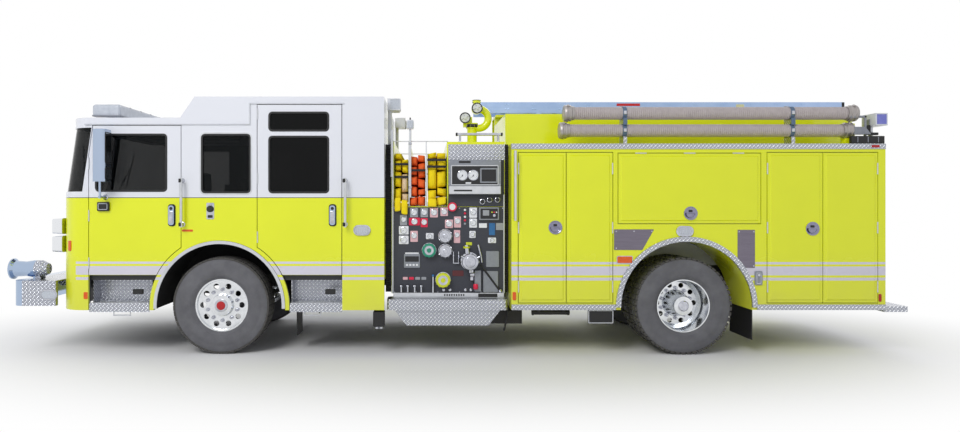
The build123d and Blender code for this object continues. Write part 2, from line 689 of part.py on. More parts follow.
mirror_x = (front_axle_x - 1262, front_axle_x - 1122)
mirror_z = (1860, 2410)
mirror_y = (cab_half + 60, cab_half + 240)
front_door = cab_door(front_door_outline, front_panes, door_arch_radius)
with front_door:
    # Mirror head on two arms from the door
    with BuildSketch(Plane.XY.offset(mirror_z[0])) as head:
        with Locations(((mirror_x[0] + mirror_x[1]) / 2, -(mirror_y[0] + mirror_y[1]) / 2)):
            RectangleRounded(mirror_x[1] - mirror_x[0], mirror_y[1] - mirror_y[0], 40)
    extrude(head.sketch, amount=mirror_z[1] - mirror_z[0])
    for arm_z in (mirror_z[0] - 160, mirror_z[1] - 10):
        with Locations((mirror_x[0] + 40, -cab_half, arm_z)):
            Cylinder(13, mirror_y[0] - cab_half + 90, rotation=(90, 0, 0), align=(Align.CENTER, Align.CENTER, Align.MIN))
    with Locations((mirror_x[0] + 40, -mirror_y[0] - 70, mirror_z[0] - 175)):
        Cylinder(13, 190, align=(Align.CENTER, Align.CENTER, Align.MIN))
crew_door = cab_door(crew_door_outline, crew_panes, door_arch_radius)
# Door handles: a paddle on a plate near each door's rear edge
handle_z = (1610, 1400)
for door, rear_x in ((front_door, front_door_x[1]), (crew_door, crew_door_x[1])):
    with door:
        with BuildSketch(left_side.offset(cab_half)) as paddle:
            with Locations((rear_x - 95, sum(handle_z) / 2)):
                RectangleRounded(60, handle_z[0] - handle_z[1], 25)
        extrude(paddle.sketch, amount=28)


def mirrored(piece):
    with BuildPart() as made:
        mirror(piece.part, about=Plane.XZ)
    return made


front_glass = door_glass(front_panes)
crew_glass = door_glass(crew_panes)

# Steps below the cab doors and running boards below the pump panels
tread_z = (465, 557)
well_depth = 260
board_x = (front_axle_x + 1800, front_axle_x + 3100)
board_z = (484, 599)
plate = 10
with BuildPart() as steps:
    for x in (
        (front_door_x[0], front_axle_x - front_lip_radius - 6),
        (front_axle_x + front_lip_radius + 6, pillar_x),
    ):
        y = (-cab_half + 6, -cab_half + well_depth)
        box((x[0], x[1]), y, (tread_z[0], tread_z[1]))
        box((x[0], x[1]), (y[0] + plate, y[1] - plate), (tread_z[0] - 5, tread_z[1] - plate), mode=Mode.SUBTRACT)
        box((x[0], x[1]), (y[1] - plate, y[1]), (tread_z[1] - 5, floor_top_z - floor_thickness))
        for end in (x[0], x[1] - plate):
            box((end, end + plate), (-wall_inner_y + 40, y[1]), (tread_z[1] - 5, floor_top_z - floor_thickness))
    with BuildSketch(Plane.XY.offset(board_z[0])):
        with Locations(((board_x[0] + board_x[1]) / 2, -(board_inner_y + cab_half - 6) / 2)):
            RectangleRounded(board_x[1] - board_x[0], cab_half - 6 - board_inner_y, 40)
    extrude(amount=board_z[1] - board_z[0])
    # Sloping apron below each board
    with BuildSketch(left_side.offset(cab_half - 40)):
        Polygon((front_axle_x + 1879, board_z[0]), (front_axle_x + 3025, board_z[0]),
                (front_axle_x + 2896, 315), (front_axle_x + 2008, 315), align=None)
    extrude(amount=-plate)
    mirror(about=Plane.XZ)
    # Rear step across the tail
    box((body_x[1], tail_x), both_sides(body_half - 20), (470, 530))

# Pump module: housing open below, three hose bays across it and a deck behind them
with BuildPart() as pump_house:
    box(pump_x, both_sides(pump_half - 20), (pump_bottom_z, pump_top_z))
    box((pump_x[0] + pump_wall, pump_x[1] - pump_wall), both_sides(pump_half - 20 - pump_wall),
        (pump_bottom_z - 10, bay_floor_z - pump_wall), mode=Mode.SUBTRACT)
    box((pump_x[0] + bay_edges[3] + bay_wall, pump_x[1] - pump_wall), both_sides(pump_half - 20 - pump_wall),
        (bay_floor_z - 30, pump_top_z - pump_wall), mode=Mode.SUBTRACT)
    for start, end in zip(bay_edges, bay_edges[1:]):
        box((pump_x[0] + start, pump_x[0] + end - bay_wall), both_sides(pump_half), (bay_floor_z, pump_top_z + 10),
            mode=Mode.SUBTRACT)
    box((pump_x[0] - 1, pump_x[1] + 1), both_sides(rail_outer_y + 20), (pump_bottom_z - 10, rail_top_z),
        mode=Mode.SUBTRACT)

with BuildPart() as crosslay_hoses:
    for start, end in zip(bay_edges, bay_edges[1:]):
        width = end - start - bay_wall - 12
        for share in (0, 0.5):
            x0 = pump_x[0] + start + 6 + share * width
            box((x0, x0 + width / 2 - 6), both_sides(pump_half - 30), (bay_floor_z, pump_top_z - 110))

# Control panel on each side, with the gauge housing above it on the left
panel_thickness = 20
with BuildPart() as pump_panels:
    box((pump_x[0] + 20, pump_x[1] - 10), (-pump_half, -pump_half + panel_thickness), (644, bay_floor_z - 10))
    mirror(about=Plane.XZ)
    box((pump_x[0] + bay_edges[3] + 4, pump_x[1] - 10), (-pump_half, -pump_half + panel_thickness), (1600, 2110))
    box((pump_x[0] + bay_edges[3] + 4, pump_x[1] - 50), (-pump_half - 60, -pump_half), (1730, 2110))

# Fittings on the left panel: caps and gauges; place along the vehicle from the front axle, height, radius, reach
fittings = [
    (2506, 948, 100, 150),
    (2430, 1273, 78, 60),
    (2430, 1110, 78, 60),
    (2253, 1118, 80, 70),
    (2507, 1594, 50, 30),
    (2720, 1000, 90, 170),
]
with BuildPart() as pump_fittings:
    for station, z, radius, reach in fittings:
        with BuildSketch(left_side.offset(pump_half)):
            with Locations((front_axle_x + station, z)):
                RegularPolygon(radius, 12)
        extrude(amount=reach)
    mirror(about=Plane.XZ)

# Deck gun: flanged riser and swivel on the module's top, a waterway curling back and up to the barrel's pivot
gun_x = front_axle_x + 2790
gun_pivot_x = front_axle_x + 2847
gun_pivot_z = 2805
gun_wheel_x = front_axle_x + 2699
gun_wheel_z = 2685
gun_wheel_radius = 66
gun_wheel_y = -112
gun_pin_radius = 20
gun_pin_half = 75
gun_sleeve_radius = 62
gun_sleeve_half = 45
riser_top_z = 2560
with BuildPart() as gun_base:
    with Locations((gun_x, 0, pump_top_z + fit_gap)):
        Cylinder(95, 24, align=(Align.CENTER, Align.CENTER, Align.MIN))
        Cylinder(60, riser_top_z - pump_top_z, align=(Align.CENTER, Align.CENTER, Align.MIN))
    with Locations((gun_x, 0, riser_top_z)):
        Cylinder(72, 70, align=(Align.CENTER, Align.CENTER, Align.MIN))
    box((gun_wheel_x - 20, gun_x), both_sides(40), (riser_top_z + 20, gun_wheel_z + 20))
    with Locations((gun_wheel_x, gun_wheel_y / 2, gun_wheel_z)):
        Cylinder(14, -gun_wheel_y, rotation=(90, 0, 0))
    with Locations((gun_wheel_x, gun_wheel_y, gun_wheel_z)):
        Cylinder(gun_wheel_radius, 18, rotation=(90, 0, 0))
    with BuildLine() as waterway:
        ThreePointArc((gun_x, 0, riser_top_z + 40), (gun_x + 200, 0, riser_top_z + 140), (gun_pivot_x, 0, gun_pivot_z))
    with BuildSketch(Plane(waterway.line @ 0, z_dir=waterway.line % 0)) as bore:
        Circle(46)
    sweep(bore.sketch, path=waterway.line)
    with Locations((gun_pivot_x, 0, gun_pivot_z)):
        Cylinder(gun_sleeve_radius, 2 * gun_sleeve_half, rotation=(90, 0, 0))
        Cylinder(gun_pin_radius, 2 * gun_pin_half, rotation=(90, 0, 0))
cheek_thickness = 22
with BuildPart() as gun_barrel:
    for side in (-1, 1):
        y = sorted((side * (gun_sleeve_half + 3), side * (gun_sleeve_half + 3 + cheek_thickness)))
        box((gun_pivot_x - 42, gun_pivot_x + 42), y, (gun_pivot_z - 42, gun_pivot_z + 84))
    box((gun_pivot_x - 42, gun_pivot_x + 42), both_sides(gun_sleeve_half + 3 + cheek_thickness),
        (gun_pivot_z + gun_sleeve_radius + 6, gun_pivot_z + 84))
    with Locations((gun_pivot_x, 0, gun_pivot_z + 80)):
        Cylinder(52, 32, align=(Align.CENTER, Align.CENTER, Align.MIN))
    with Locations((gun_pivot_x, gun_wheel_y, gun_pivot_z)):
        Cylinder(gun_wheel_radius, 18, rotation=(90, 0, 0))
    with Locations((gun_pivot_x, gun_wheel_y, gun_pivot_z)):
        Cylinder(24, -gun_wheel_y - gun_sleeve_half - 6, rotation=(-90, 0, 0),
                 align=(Align.CENTER, Align.CENTER, Align.MIN))
    with Locations((gun_pivot_x, 0, gun_pivot_z)):
        Cylinder(gun_pin_radius + fit_gap, 2 * (gun_pin_half + 1), rotation=(90, 0, 0), mode=Mode.SUBTRACT)

# Body banks: compartments with a rebate for their doors, and the wheel arch cut through
with BuildPart() as body_left:
    box(body_x, (-body_half, -body_half + bank_depth), (body_bottom_z, body_top_z))
    rebate = leaf_thickness + rebate_gap
    for _, front, _, rear, low, high in compartments:
        x = (front_axle_x + front, front_axle_x + rear)
        box((x[0] - shut_gap, x[1] + shut_gap), (-body_half - 1, -body_half + rebate),
            (low - shut_gap, high + shut_gap), mode=Mode.SUBTRACT)
        box((x[0] + 25, x[1] - 25), (-body_half, -body_half + bank_depth - 20), (low + 25, high - 25),
            mode=Mode.SUBTRACT)
    with Locations((rear_axle_x, -body_half + bank_depth / 2, tyre_radius)):
        Cylinder(rear_arch_radius, bank_depth + 50, rotation=(90, 0, 0), mode=Mode.SUBTRACT)
    # Each compartment is a module of its own, bolted to the next through the pillar between their doors
    for (_, _, _, rear, _, _), (_, front, _, _, _, _) in zip(compartments, compartments[1:]):
        seam = front_axle_x + (rear + front) / 2
        box((seam - fit_gap / 2, seam + fit_gap / 2), (-body_half - 1, -body_half + bank_depth + 1),
            (body_bottom_z - 1, body_top_z + 1), mode=Mode.SUBTRACT)
body_right = mirrored(body_left)


def leaf(x, z, latch=None):
    """A door leaf with a bevelled raised panel, and a round latch where one is given."""
    with BuildPart() as made:
        box(x, (-body_half, -body_half + leaf_thickness), z)
        with BuildSketch(left_side.offset(body_half)):
            with Locations(((x[0] + x[1]) / 2, (z[0] + z[1]) / 2)):
                Rectangle(x[1] - x[0] - 50, z[1] - z[0] - 50)
        extrude(amount=raised_panel, taper=45)
        if latch:
            with BuildSketch(left_side.offset(body_half + raised_panel)):
                with Locations(latch):
                    Circle(latch_radius)
            extrude(amount=8)
    return made


latches = {"front": (3597, 1376), "middle": (5037, 1527), "rear": (6335, 1363)}
leaves = {}
for name, front, split, rear, low, high in compartments:
    latch = (front_axle_x + latches[name][0], latches[name][1])
    if split is None:
        leaves[f"lift_door_{name}"] = leaf((front_axle_x + front, front_axle_x + rear), (low, high), latch)
        continue
    half = shut_gap / 2
    leaves[f"{name}_leaf_a"] = leaf((front_axle_x + front, front_axle_x + split - half), (low, high), latch)
    leaves[f"{name}_leaf_b"] = leaf((front_axle_x + split + half, front_axle_x + rear), (low, high))

bank_inner_y = body_half - bank_depth
with BuildPart() as water_tank:
    box((body_x[0] + 40, body_x[1] - 500), both_sides(tank_foot_half), (rail_top_z, tank_shoulder_z))
    box((body_x[0] + 40, body_x[1] - 500), both_sides(hosebed_half - hosebed_wall - 6), (tank_shoulder_z, hosebed_floor_z))

# Hose bed: side walls on the banks, a front wall, and the rear wall with its compartment opening
rear_door_y = 480
rear_door_z = (760, 1700)
with BuildPart() as hosebed:
    box(body_x, (-hosebed_half, hosebed_wall - hosebed_half), (hosebed_floor_z, hosebed_top_z))
    box(body_x, (hosebed_half - hosebed_wall, hosebed_half), (hosebed_floor_z, ladder_deck_z))
    # Deck for the ladder over the right bank
    box(body_x, ladder_deck_y, (ladder_deck_z - 30, ladder_deck_z))
    box(body_x, (ladder_deck_y[1] - 30, ladder_deck_y[1]), (body_top_z, ladder_deck_z))
    box((body_x[0], body_x[0] + hosebed_wall), both_sides(hosebed_half), (hosebed_floor_z, hosebed_top_z))
    box((body_x[1] - 56, body_x[1]), both_sides(bank_inner_y), (body_bottom_z + 60, hosebed_floor_z))
    box((body_x[1] - 70, body_x[1] + 10), both_sides(rear_door_y + shut_gap),
        (rear_door_z[0] - shut_gap, rear_door_z[1] + shut_gap), mode=Mode.SUBTRACT)
with BuildPart() as rear_door:
    box((body_x[1] - leaf_thickness, body_x[1]), both_sides(rear_door_y), rear_door_z)

# Hard suction hoses along the left bank: height, front end, rear end
suction_y = -1120
suction_radius = 70
with BuildPart() as suction_hoses:
    for z, front, rear in ((2423, 3666, 6847), (2612, 3715, 6895)):
        with BuildSketch(Plane.YZ.offset(front_axle_x + front)):
            with Locations((suction_y, z)):
                Circle(suction_radius)
        extrude(amount=rear - front)
        for end in (front, rear - 110):
            with BuildSketch(Plane.YZ.offset(front_axle_x + end)):
                with Locations((suction_y, z)):
                    Circle(suction_radius + 20)
            extrude(amount=110)

# Ladder laid flat on the deck over the right bank, on three cross bars
ladder_x = (front_axle_x + 2869, front_axle_x + 7746)
ladder_z = (2826, 2969)
ladder_y = (520, 980)
first_rung_x = front_axle_x + 2932
rung_pitch = 355.6
rung_count = 14
beam_width = 38
with BuildPart() as ladder:
    for y in (ladder_y[0], ladder_y[1] - beam_width):
        box(ladder_x, (y, y + beam_width), ladder_z)
    for step in range(rung_count):
        with Locations((first_rung_x + step * rung_pitch, sum(ladder_y) / 2, sum(ladder_z) / 2)):
            Cylinder(17, ladder_y[1] - ladder_y[0] - 2 * (beam_width + fit_gap), rotation=(90, 0, 0))
    for station in (3700, 5100, 6600):
        x = front_axle_x + station
        box((x - 25, x + 25), ladder_y, (ladder_deck_z, ladder_z[0] - fit_gap))

# Trim: rub rails, top rails and hose posts
with BuildPart() as body_trim:
    box((body_x[0], rear_axle_x - rear_lip_radius), (-body_half - 14, -body_half), (body_bottom_z, 554))
    box((rear_axle_x + rear_lip_radius, body_x[1]), (-body_half - 14, -body_half), (body_bottom_z, 554))
    box(body_x, (-body_half - 8, -body_half), (2212, body_top_z))
    with BuildSketch(left_side.offset(body_half)):
        with Locations((rear_axle_x, tyre_radius)):
            Circle(rear_lip_radius)
            Circle(rear_arch_radius, mode=Mode.SUBTRACT)
            Rectangle(2 * rear_lip_radius + 10, rear_lip_radius + 10, align=(Align.CENTER, Align.MAX),
                      mode=Mode.SUBTRACT)
    extrude(amount=20)
    mirror(about=Plane.XZ)
    for station in (4368, 6180):
        x = front_axle_x + station
        box((x - 20, x + 20), (suction_y + suction_radius + fit_gap, suction_y + suction_radius + 20),
            (body_top_z, 2700))
        box((x - 20, x + 20), (suction_y - suction_radius, suction_y + suction_radius + 20),
            (body_top_z, 2423 - suction_radius - fit_gap))
        box((x - 20, x + 20), (suction_y - suction_radius, suction_y + suction_radius + 20),
            (2423 + suction_radius + fit_gap, 2612 - suction_radius - fit_gap))

# Grab rails: upright rods by the cab doors, and on the module and body edges
# place along the vehicle from the front axle, face behind, lower end, upper end
rods = [
    (-385, cab_half, 1378, 1905),
    (1360, cab_half, 1378, 1905),
    (3165, body_half, 1450, 2190),
]
rod_radius = 15
rod_stand = 75
with BuildPart() as grab_rails:
    for station, face_y, low, high in rods:
        x = front_axle_x + station
        with Locations((x, -face_y - rod_stand, low)):
            Cylinder(rod_radius, high - low, align=(Align.CENTER, Align.CENTER, Align.MIN))
        for z in (low + 30, high - 30):
            with Locations((x, -face_y - rod_stand / 2, z)):
                Cylinder(rod_radius - 4, rod_stand, rotation=(90, 0, 0))
    mirror(about=Plane.XZ)

# Air tanks hung from the rails behind the running boards
under_tank_x = (front_axle_x + 2915, front_axle_x + 3283)
with BuildPart() as under_tanks:
    for side in (-1, 1):
        box(under_tank_x, sorted((side * (rail_outer_y + 30), side * 980)), (300, 443))
        box((under_tank_x[0] + 195, under_tank_x[1] - 60), sorted((side * rail_outer_y, side * (rail_outer_y + 30))),
            (320, rail_bottom_z + 60))

with BuildPart() as mud_flaps:
    for side in (-1, 1):
        for x, y, top_z in (
            (front_axle_x + front_lip_radius + 30, (640, 950), floor_top_z - floor_thickness),
            (rear_axle_x + rear_arch_radius + 30, (640, 1190), body_bottom_z),
        ):
            box((x, x + 12), sorted((side * y[0], side * y[1])), (160, top_z))

pieces = {
    "chassis_frame": chassis_frame, "engine": engine, "axles": axles,
    "knuckle_left": knuckle_left, "knuckle_right": knuckle_right,
    "front_tyre_left": front_tyre_left, "front_tyre_right": front_tyre_right,
    "front_rim_left": front_rim_left, "front_rim_right": front_rim_right,
    "rear_tyres_left": rear_tyres_left, "rear_tyres_right": rear_tyres_right,
    "rear_rims_left": rear_rims_left, "rear_rims_right": rear_rims_right,
    "cab_front": cab_front, "cab_walls": cab_walls, "cab_roof": cab_roof, "cab_floor": cab_floor,
    "cab_glass": cab_glass, "cab_interior": cab_interior, "grille": grille, "bumper": bumper,
    "lamps": lamps, "lightbar": lightbar, "steps": steps,
    "front_door_left": front_door, "front_door_right": mirrored(front_door),
    "crew_door_left": crew_door, "crew_door_right": mirrored(crew_door),
    "front_glass_left": front_glass, "front_glass_right": mirrored(front_glass),
    "crew_glass_left": crew_glass, "crew_glass_right": mirrored(crew_glass),
    "pump_house": pump_house, "pump_panels": pump_panels, "pump_fittings": pump_fittings,
    "crosslay_hoses": crosslay_hoses, "gun_base": gun_base, "gun_barrel": gun_barrel,
    "body_left": body_left, "body_right": body_right, "water_tank": water_tank,
    "hosebed": hosebed, "rear_door": rear_door, "suction_hoses": suction_hoses, "ladder": ladder,
    "body_trim": body_trim, "grab_rails": grab_rails, "under_tanks": under_tanks, "mud_flaps": mud_flaps,
}
for name, piece in leaves.items():
    pieces[f"{name}_left"] = piece
    pieces[f"{name}_right"] = mirrored(piece)

for name, piece in pieces.items():
    piece.part.label = name
    export_step(piece.part, f"parts/{name}.step")
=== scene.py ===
"""Looks for a custom-cab fire engine, in metres: +Z is up, the front points along -X, its left side faces -Y."""

import math

import bmesh
import bpy
from mathutils import Matrix, Vector


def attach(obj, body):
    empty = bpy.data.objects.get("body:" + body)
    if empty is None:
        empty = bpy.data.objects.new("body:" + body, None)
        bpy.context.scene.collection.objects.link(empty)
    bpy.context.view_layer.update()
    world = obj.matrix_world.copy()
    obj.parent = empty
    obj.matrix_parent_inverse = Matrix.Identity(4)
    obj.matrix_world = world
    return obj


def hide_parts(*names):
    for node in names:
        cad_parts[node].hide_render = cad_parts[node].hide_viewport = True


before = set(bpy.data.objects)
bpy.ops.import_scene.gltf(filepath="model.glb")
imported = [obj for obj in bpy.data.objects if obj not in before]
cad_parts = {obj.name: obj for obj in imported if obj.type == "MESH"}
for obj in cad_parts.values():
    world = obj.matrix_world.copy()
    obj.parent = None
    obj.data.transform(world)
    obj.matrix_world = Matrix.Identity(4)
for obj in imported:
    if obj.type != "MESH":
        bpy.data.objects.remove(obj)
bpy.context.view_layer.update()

# Camera and studio: the photograph was taken from the roadside, square to the left side and at eye height.
# The floor is a pale matt sheet; the sky is an even soft white, and one large soft lamp stands for the sun.

scene = bpy.context.scene
scene.view_settings.view_transform = "Standard"

camera = bpy.data.objects.new("camera", bpy.data.cameras.new("camera"))
camera.data.sensor_width = 36
camera.data.lens = 26.36
camera.data.shift_x = 0.0542
camera.data.shift_y = -0.0135
camera.data.clip_end = 200
camera.location = (-0.432, -8.77, 1.636)
camera.rotation_euler = (math.radians(90), 0, 0)
scene.collection.objects.link(camera)
scene.camera = camera


def add_node(tree, kind, inputs=None, **settings):
    """Adds a node with its settings; an input takes a value, a socket or another node's first output."""
    node = tree.nodes.new(kind)
    for key, value in settings.items():
        setattr(node, key, value)
    for key, value in (inputs or {}).items():
        if isinstance(value, bpy.types.Node):
            value = value.outputs[0]
        if isinstance(value, bpy.types.NodeSocket):
            tree.links.new(value, node.inputs[key])
        else:
            node.inputs[key].default_value = value
    return node


def shade(hex_colour):
    """An sRGB hex colour as linear RGBA."""
    parts = [int(hex_colour[i:i + 2], 16) / 255 for i in (1, 3, 5)]
    return [p / 12.92 if p <= 0.04045 else ((p + 0.055) / 1.055) ** 2.4 for p in parts] + [1]


def backdrop_rays(tree):
    """1 for the rays that show the backdrop: the camera's own, and those that metal and glass send on."""
    ray = add_node(tree, "ShaderNodeLightPath")
    seen = add_node(tree, "ShaderNodeMath", {0: ray.outputs["Is Camera Ray"], 1: ray.outputs["Is Glossy Ray"]},
                    operation="MAXIMUM")
    return add_node(tree, "ShaderNodeMath", {0: seen, 1: ray.outputs["Is Transmission Ray"]}, operation="MAXIMUM")


world = bpy.data.worlds.new("studio sky")
scene.world = world
world.use_nodes = True
sky = world.node_tree
sky.nodes.clear()
seen = backdrop_rays(sky)
lit = add_node(sky, "ShaderNodeBackground", {"Color": shade("#F4F6FF"), "Strength": 0.52})
white = add_node(sky, "ShaderNodeBackground", {"Color": (1, 1, 1, 1), "Strength": 1.0})
both = add_node(sky, "ShaderNodeMixShader", {0: seen, 1: lit, 2: white})
add_node(sky, "ShaderNodeOutputWorld", {"Surface": both})

for name, place, size, power in (
    ("sun side lamp", (-6.0, -12.0, 10.0), 6.0, 980),
    ("far side lamp", (6.0, 11.0, 9.0), 8.0, 480),
):
    lamp = bpy.data.objects.new(name, bpy.data.lights.new(name, "AREA"))
    lamp.data.size = size
    lamp.data.energy = power
    lamp.location = place
    lamp.rotation_euler = (Vector((0, 0, 1.0)) - Vector(place)).to_track_quat("-Z", "Y").to_euler()
    scene.collection.objects.link(lamp)

# Near the vehicle the floor is matt paper that takes its shadow; further out it glows as white as the sky for
# the rays that show it, so that no horizon is seen.
floor_paper = bpy.data.materials.new("studio floor paper")
floor_paper.use_nodes = True
paper = floor_paper.node_tree
paper.nodes["Principled BSDF"].inputs["Base Color"].default_value = shade("#F2F2F1")
paper.nodes["Principled BSDF"].inputs["Roughness"].default_value = 0.9
seen = backdrop_rays(paper)
place = add_node(paper, "ShaderNodeTexCoord").outputs["Object"]
squashed = add_node(paper, "ShaderNodeVectorMath", {0: place, 1: (0.55, 1.0, 0.0)}, operation="MULTIPLY")
reach = add_node(paper, "ShaderNodeVectorMath", {0: squashed}, operation="LENGTH").outputs["Value"]
fade = add_node(paper, "ShaderNodeMapRange", {0: reach, 1: 1.9, 2: 4.2}, interpolation_type="SMOOTHSTEP")
fade = add_node(paper, "ShaderNodeMath", {0: fade, 1: seen}, operation="MULTIPLY")
glow = add_node(paper, "ShaderNodeEmission", {"Color": (1, 1, 1, 1), "Strength": 1.0})
blend = add_node(paper, "ShaderNodeMixShader", {0: fade, 1: paper.nodes["Principled BSDF"], 2: glow})
paper.links.new(blend.outputs[0], paper.nodes["Material Output"].inputs["Surface"])
bpy.ops.mesh.primitive_plane_add(size=120, location=(0, 0, 0))
floor = bpy.context.object
floor.name = "studio_floor"
floor.data.materials.append(floor_paper)

# Chassis: pressed steel rails, cross-members and hangers, sprayed with satin black chassis paint and
# dusted with road grime. The engine and the axles are castings in the same black.


def surface(name, roughness=0.5, metallic=0.0, colour="#808080"):
    """A new material, its node tree and its shader."""
    material = bpy.data.materials.new(name)
    material.use_nodes = True
    shader = material.node_tree.nodes["Principled BSDF"]
    shader.inputs["Base Color"].default_value = shade(colour)
    shader.inputs["Roughness"].default_value = roughness
    shader.inputs["Metallic"].default_value = metallic
    return material, material.node_tree, shader


def mottled(tree, shader, low, high, size, roughness=None, bump=0.0, detail=4.0):
    """Breaks a surface up with patches of a real size: two colours, two roughnesses and a fine relief."""
    place = add_node(tree, "ShaderNodeTexCoord")
    patches = add_node(tree, "ShaderNodeTexNoise",
                       {"Vector": place.outputs["Object"], "Scale": 1 / size, "Detail": detail, "Roughness": 0.6})
    mix = add_node(tree, "ShaderNodeMix", {0: patches, 6: shade(low), 7: shade(high)}, data_type="RGBA")
    tree.links.new(mix.outputs[2], shader.inputs["Base Color"])
    if roughness:
        spread = add_node(tree, "ShaderNodeMapRange", {0: patches, 3: roughness[0], 4: roughness[1]})
        tree.links.new(spread.outputs[0], shader.inputs["Roughness"])
    if bump:
        relief = add_node(tree, "ShaderNodeBump", {"Height": patches, "Strength": 0.4, "Distance": bump})
        tree.links.new(relief.outputs[0], shader.inputs["Normal"])
    return patches


chassis_paint, tree, shader = surface("black chassis paint")
mottled(tree, shader, "#0B0B0C", "#2B2926", 0.09, (0.45, 0.8), 0.001)
casting, tree, shader = surface("cast iron under grime")
mottled(tree, shader, "#141414", "#3A3733", 0.05, (0.6, 0.9), 0.002)


def dress(node, *materials):
    """Gives a CAD node its materials, slot by slot."""
    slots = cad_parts[node].material_slots
    for index, slot in enumerate(slots):
        slot.material = materials[min(index, len(materials) - 1)]


dress("chassis_frame", chassis_paint)
dress("under_tanks", chassis_paint)
for node in ("engine", "axles", "knuckle_left", "knuckle_right"):
    dress(node, casting)

# Wheels: radial truck tyres with a ribbed tread in front and lugged shoulders behind, on polished forged
# aluminium discs. The rims are the CAD's; the rubber is turned here, with its blocks set round it.

front_axle_x = -2.673
rear_axle_x = 2.324
hub_z = 0.525
tyre_radius = 0.525
left_and_right = ((-1, "left"), (1, "right"))


def new_faces(bm, before, finish):
    for face in set(bm.faces) - before:
        face.material_index = finish


def turned(bm, profile, centre, axis, finish=0, segments=32):
    """Spins a profile of (radius, distance along the axis) points round an axis."""
    before = set(bm.faces)
    axis = Vector(axis).normalized()
    across = axis.orthogonal().normalized()
    points = [bm.verts.new(Vector(centre) + across * r + axis * w) for r, w in profile]
    edges = [bm.edges.new(pair) for pair in zip(points, points[1:])]
    bmesh.ops.spin(bm, geom=points + edges, cent=centre, axis=axis, angle=math.tau, steps=segments, use_merge=True)
    bmesh.ops.remove_doubles(bm, verts=bm.verts, dist=0.00002)
    new_faces(bm, before, finish)


def slab(bm, low, high, finish=0, bevel=0.0, segments=1, turn=None, about=None):
    """A block between two corners, its edges rounded, turned about a point when one is given."""
    before = set(bm.faces)
    low, high = Vector(low), Vector(high)
    size = high - low
    made = bmesh.ops.create_cube(bm, size=1, matrix=Matrix.LocRotScale((low + high) / 2, None, size))
    verts = made["verts"]
    if bevel:
        edges = list({edge for vert in verts for edge in vert.link_edges})
        bmesh.ops.bevel(bm, geom=edges, offset=bevel, segments=segments, profile=0.5, affect="EDGES", material=-1)
    faces = set(bm.faces) - before
    if turn is not None:
        verts = list({vert for face in faces for vert in face.verts})
        centre = Vector(about if about is not None else (low + high) / 2)
        bmesh.ops.rotate(bm, cent=centre, matrix=turn, verts=verts)
    new_faces(bm, before, finish)
    return faces


def rod(bm, start, end, radius, finish=0, segments=16, end_radius=None):
    """A round bar or cone from one point to another."""
    before = set(bm.faces)
    start, end = Vector(start), Vector(end)
    run = end - start
    place = Matrix.Translation((start + end) / 2) @ run.to_track_quat("Z", "Y").to_matrix().to_4x4()
    bmesh.ops.create_cone(bm, cap_ends=True, segments=segments, radius1=radius,
                          radius2=radius if end_radius is None else end_radius, depth=run.length, matrix=place)
    new_faces(bm, before, finish)


def finish_piece(name, bm, finishes, body, side=-1, mirror_too=False, sharp=35):
    """Turns a bmesh into a piece; side 1 mirrors what was drawn on the left to the right."""
    if mirror_too:
        copy = bmesh.ops.duplicate(bm, geom=bm.verts[:] + bm.edges[:] + bm.faces[:])
        verts = [item for item in copy["geom"] if isinstance(item, bmesh.types.BMVert)]
        bmesh.ops.scale(bm, vec=(1, -1, 1), verts=verts)
    elif side > 0:
        bmesh.ops.scale(bm, vec=(1, -1, 1), verts=bm.verts)
    bmesh.ops.delete(bm, geom=[vert for vert in bm.verts if not vert.link_faces], context="VERTS")
    bmesh.ops.recalc_face_normals(bm, faces=bm.faces)
    mesh = bpy.data.meshes.new(name)
    bm.to_mesh(mesh)
    bm.free()
    for finish in finishes:
        mesh.materials.append(finish)
    mesh.shade_smooth()
    mesh.set_sharp_from_angle(angle=math.radians(sharp))
    piece = bpy.data.objects.new(name, mesh)
    scene.collection.objects.link(piece)
    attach(piece, body)
    return piece


# Vulcanised rubber: deep grey with a dusty bloom, duller and paler on the tread than on the moulded wall
tyre_rubber, tree, shader = surface("vulcanised tyre rubber")
mottled(tree, shader, "#4A4A4E", "#78787C", 0.14, (0.7, 0.95), 0.0012)
tread_rubber, tree, shader = surface("worn tread rubber")
mottled(tree, shader, "#3A3937", "#5C5A57", 0.05, (0.85, 1.0), 0.002)


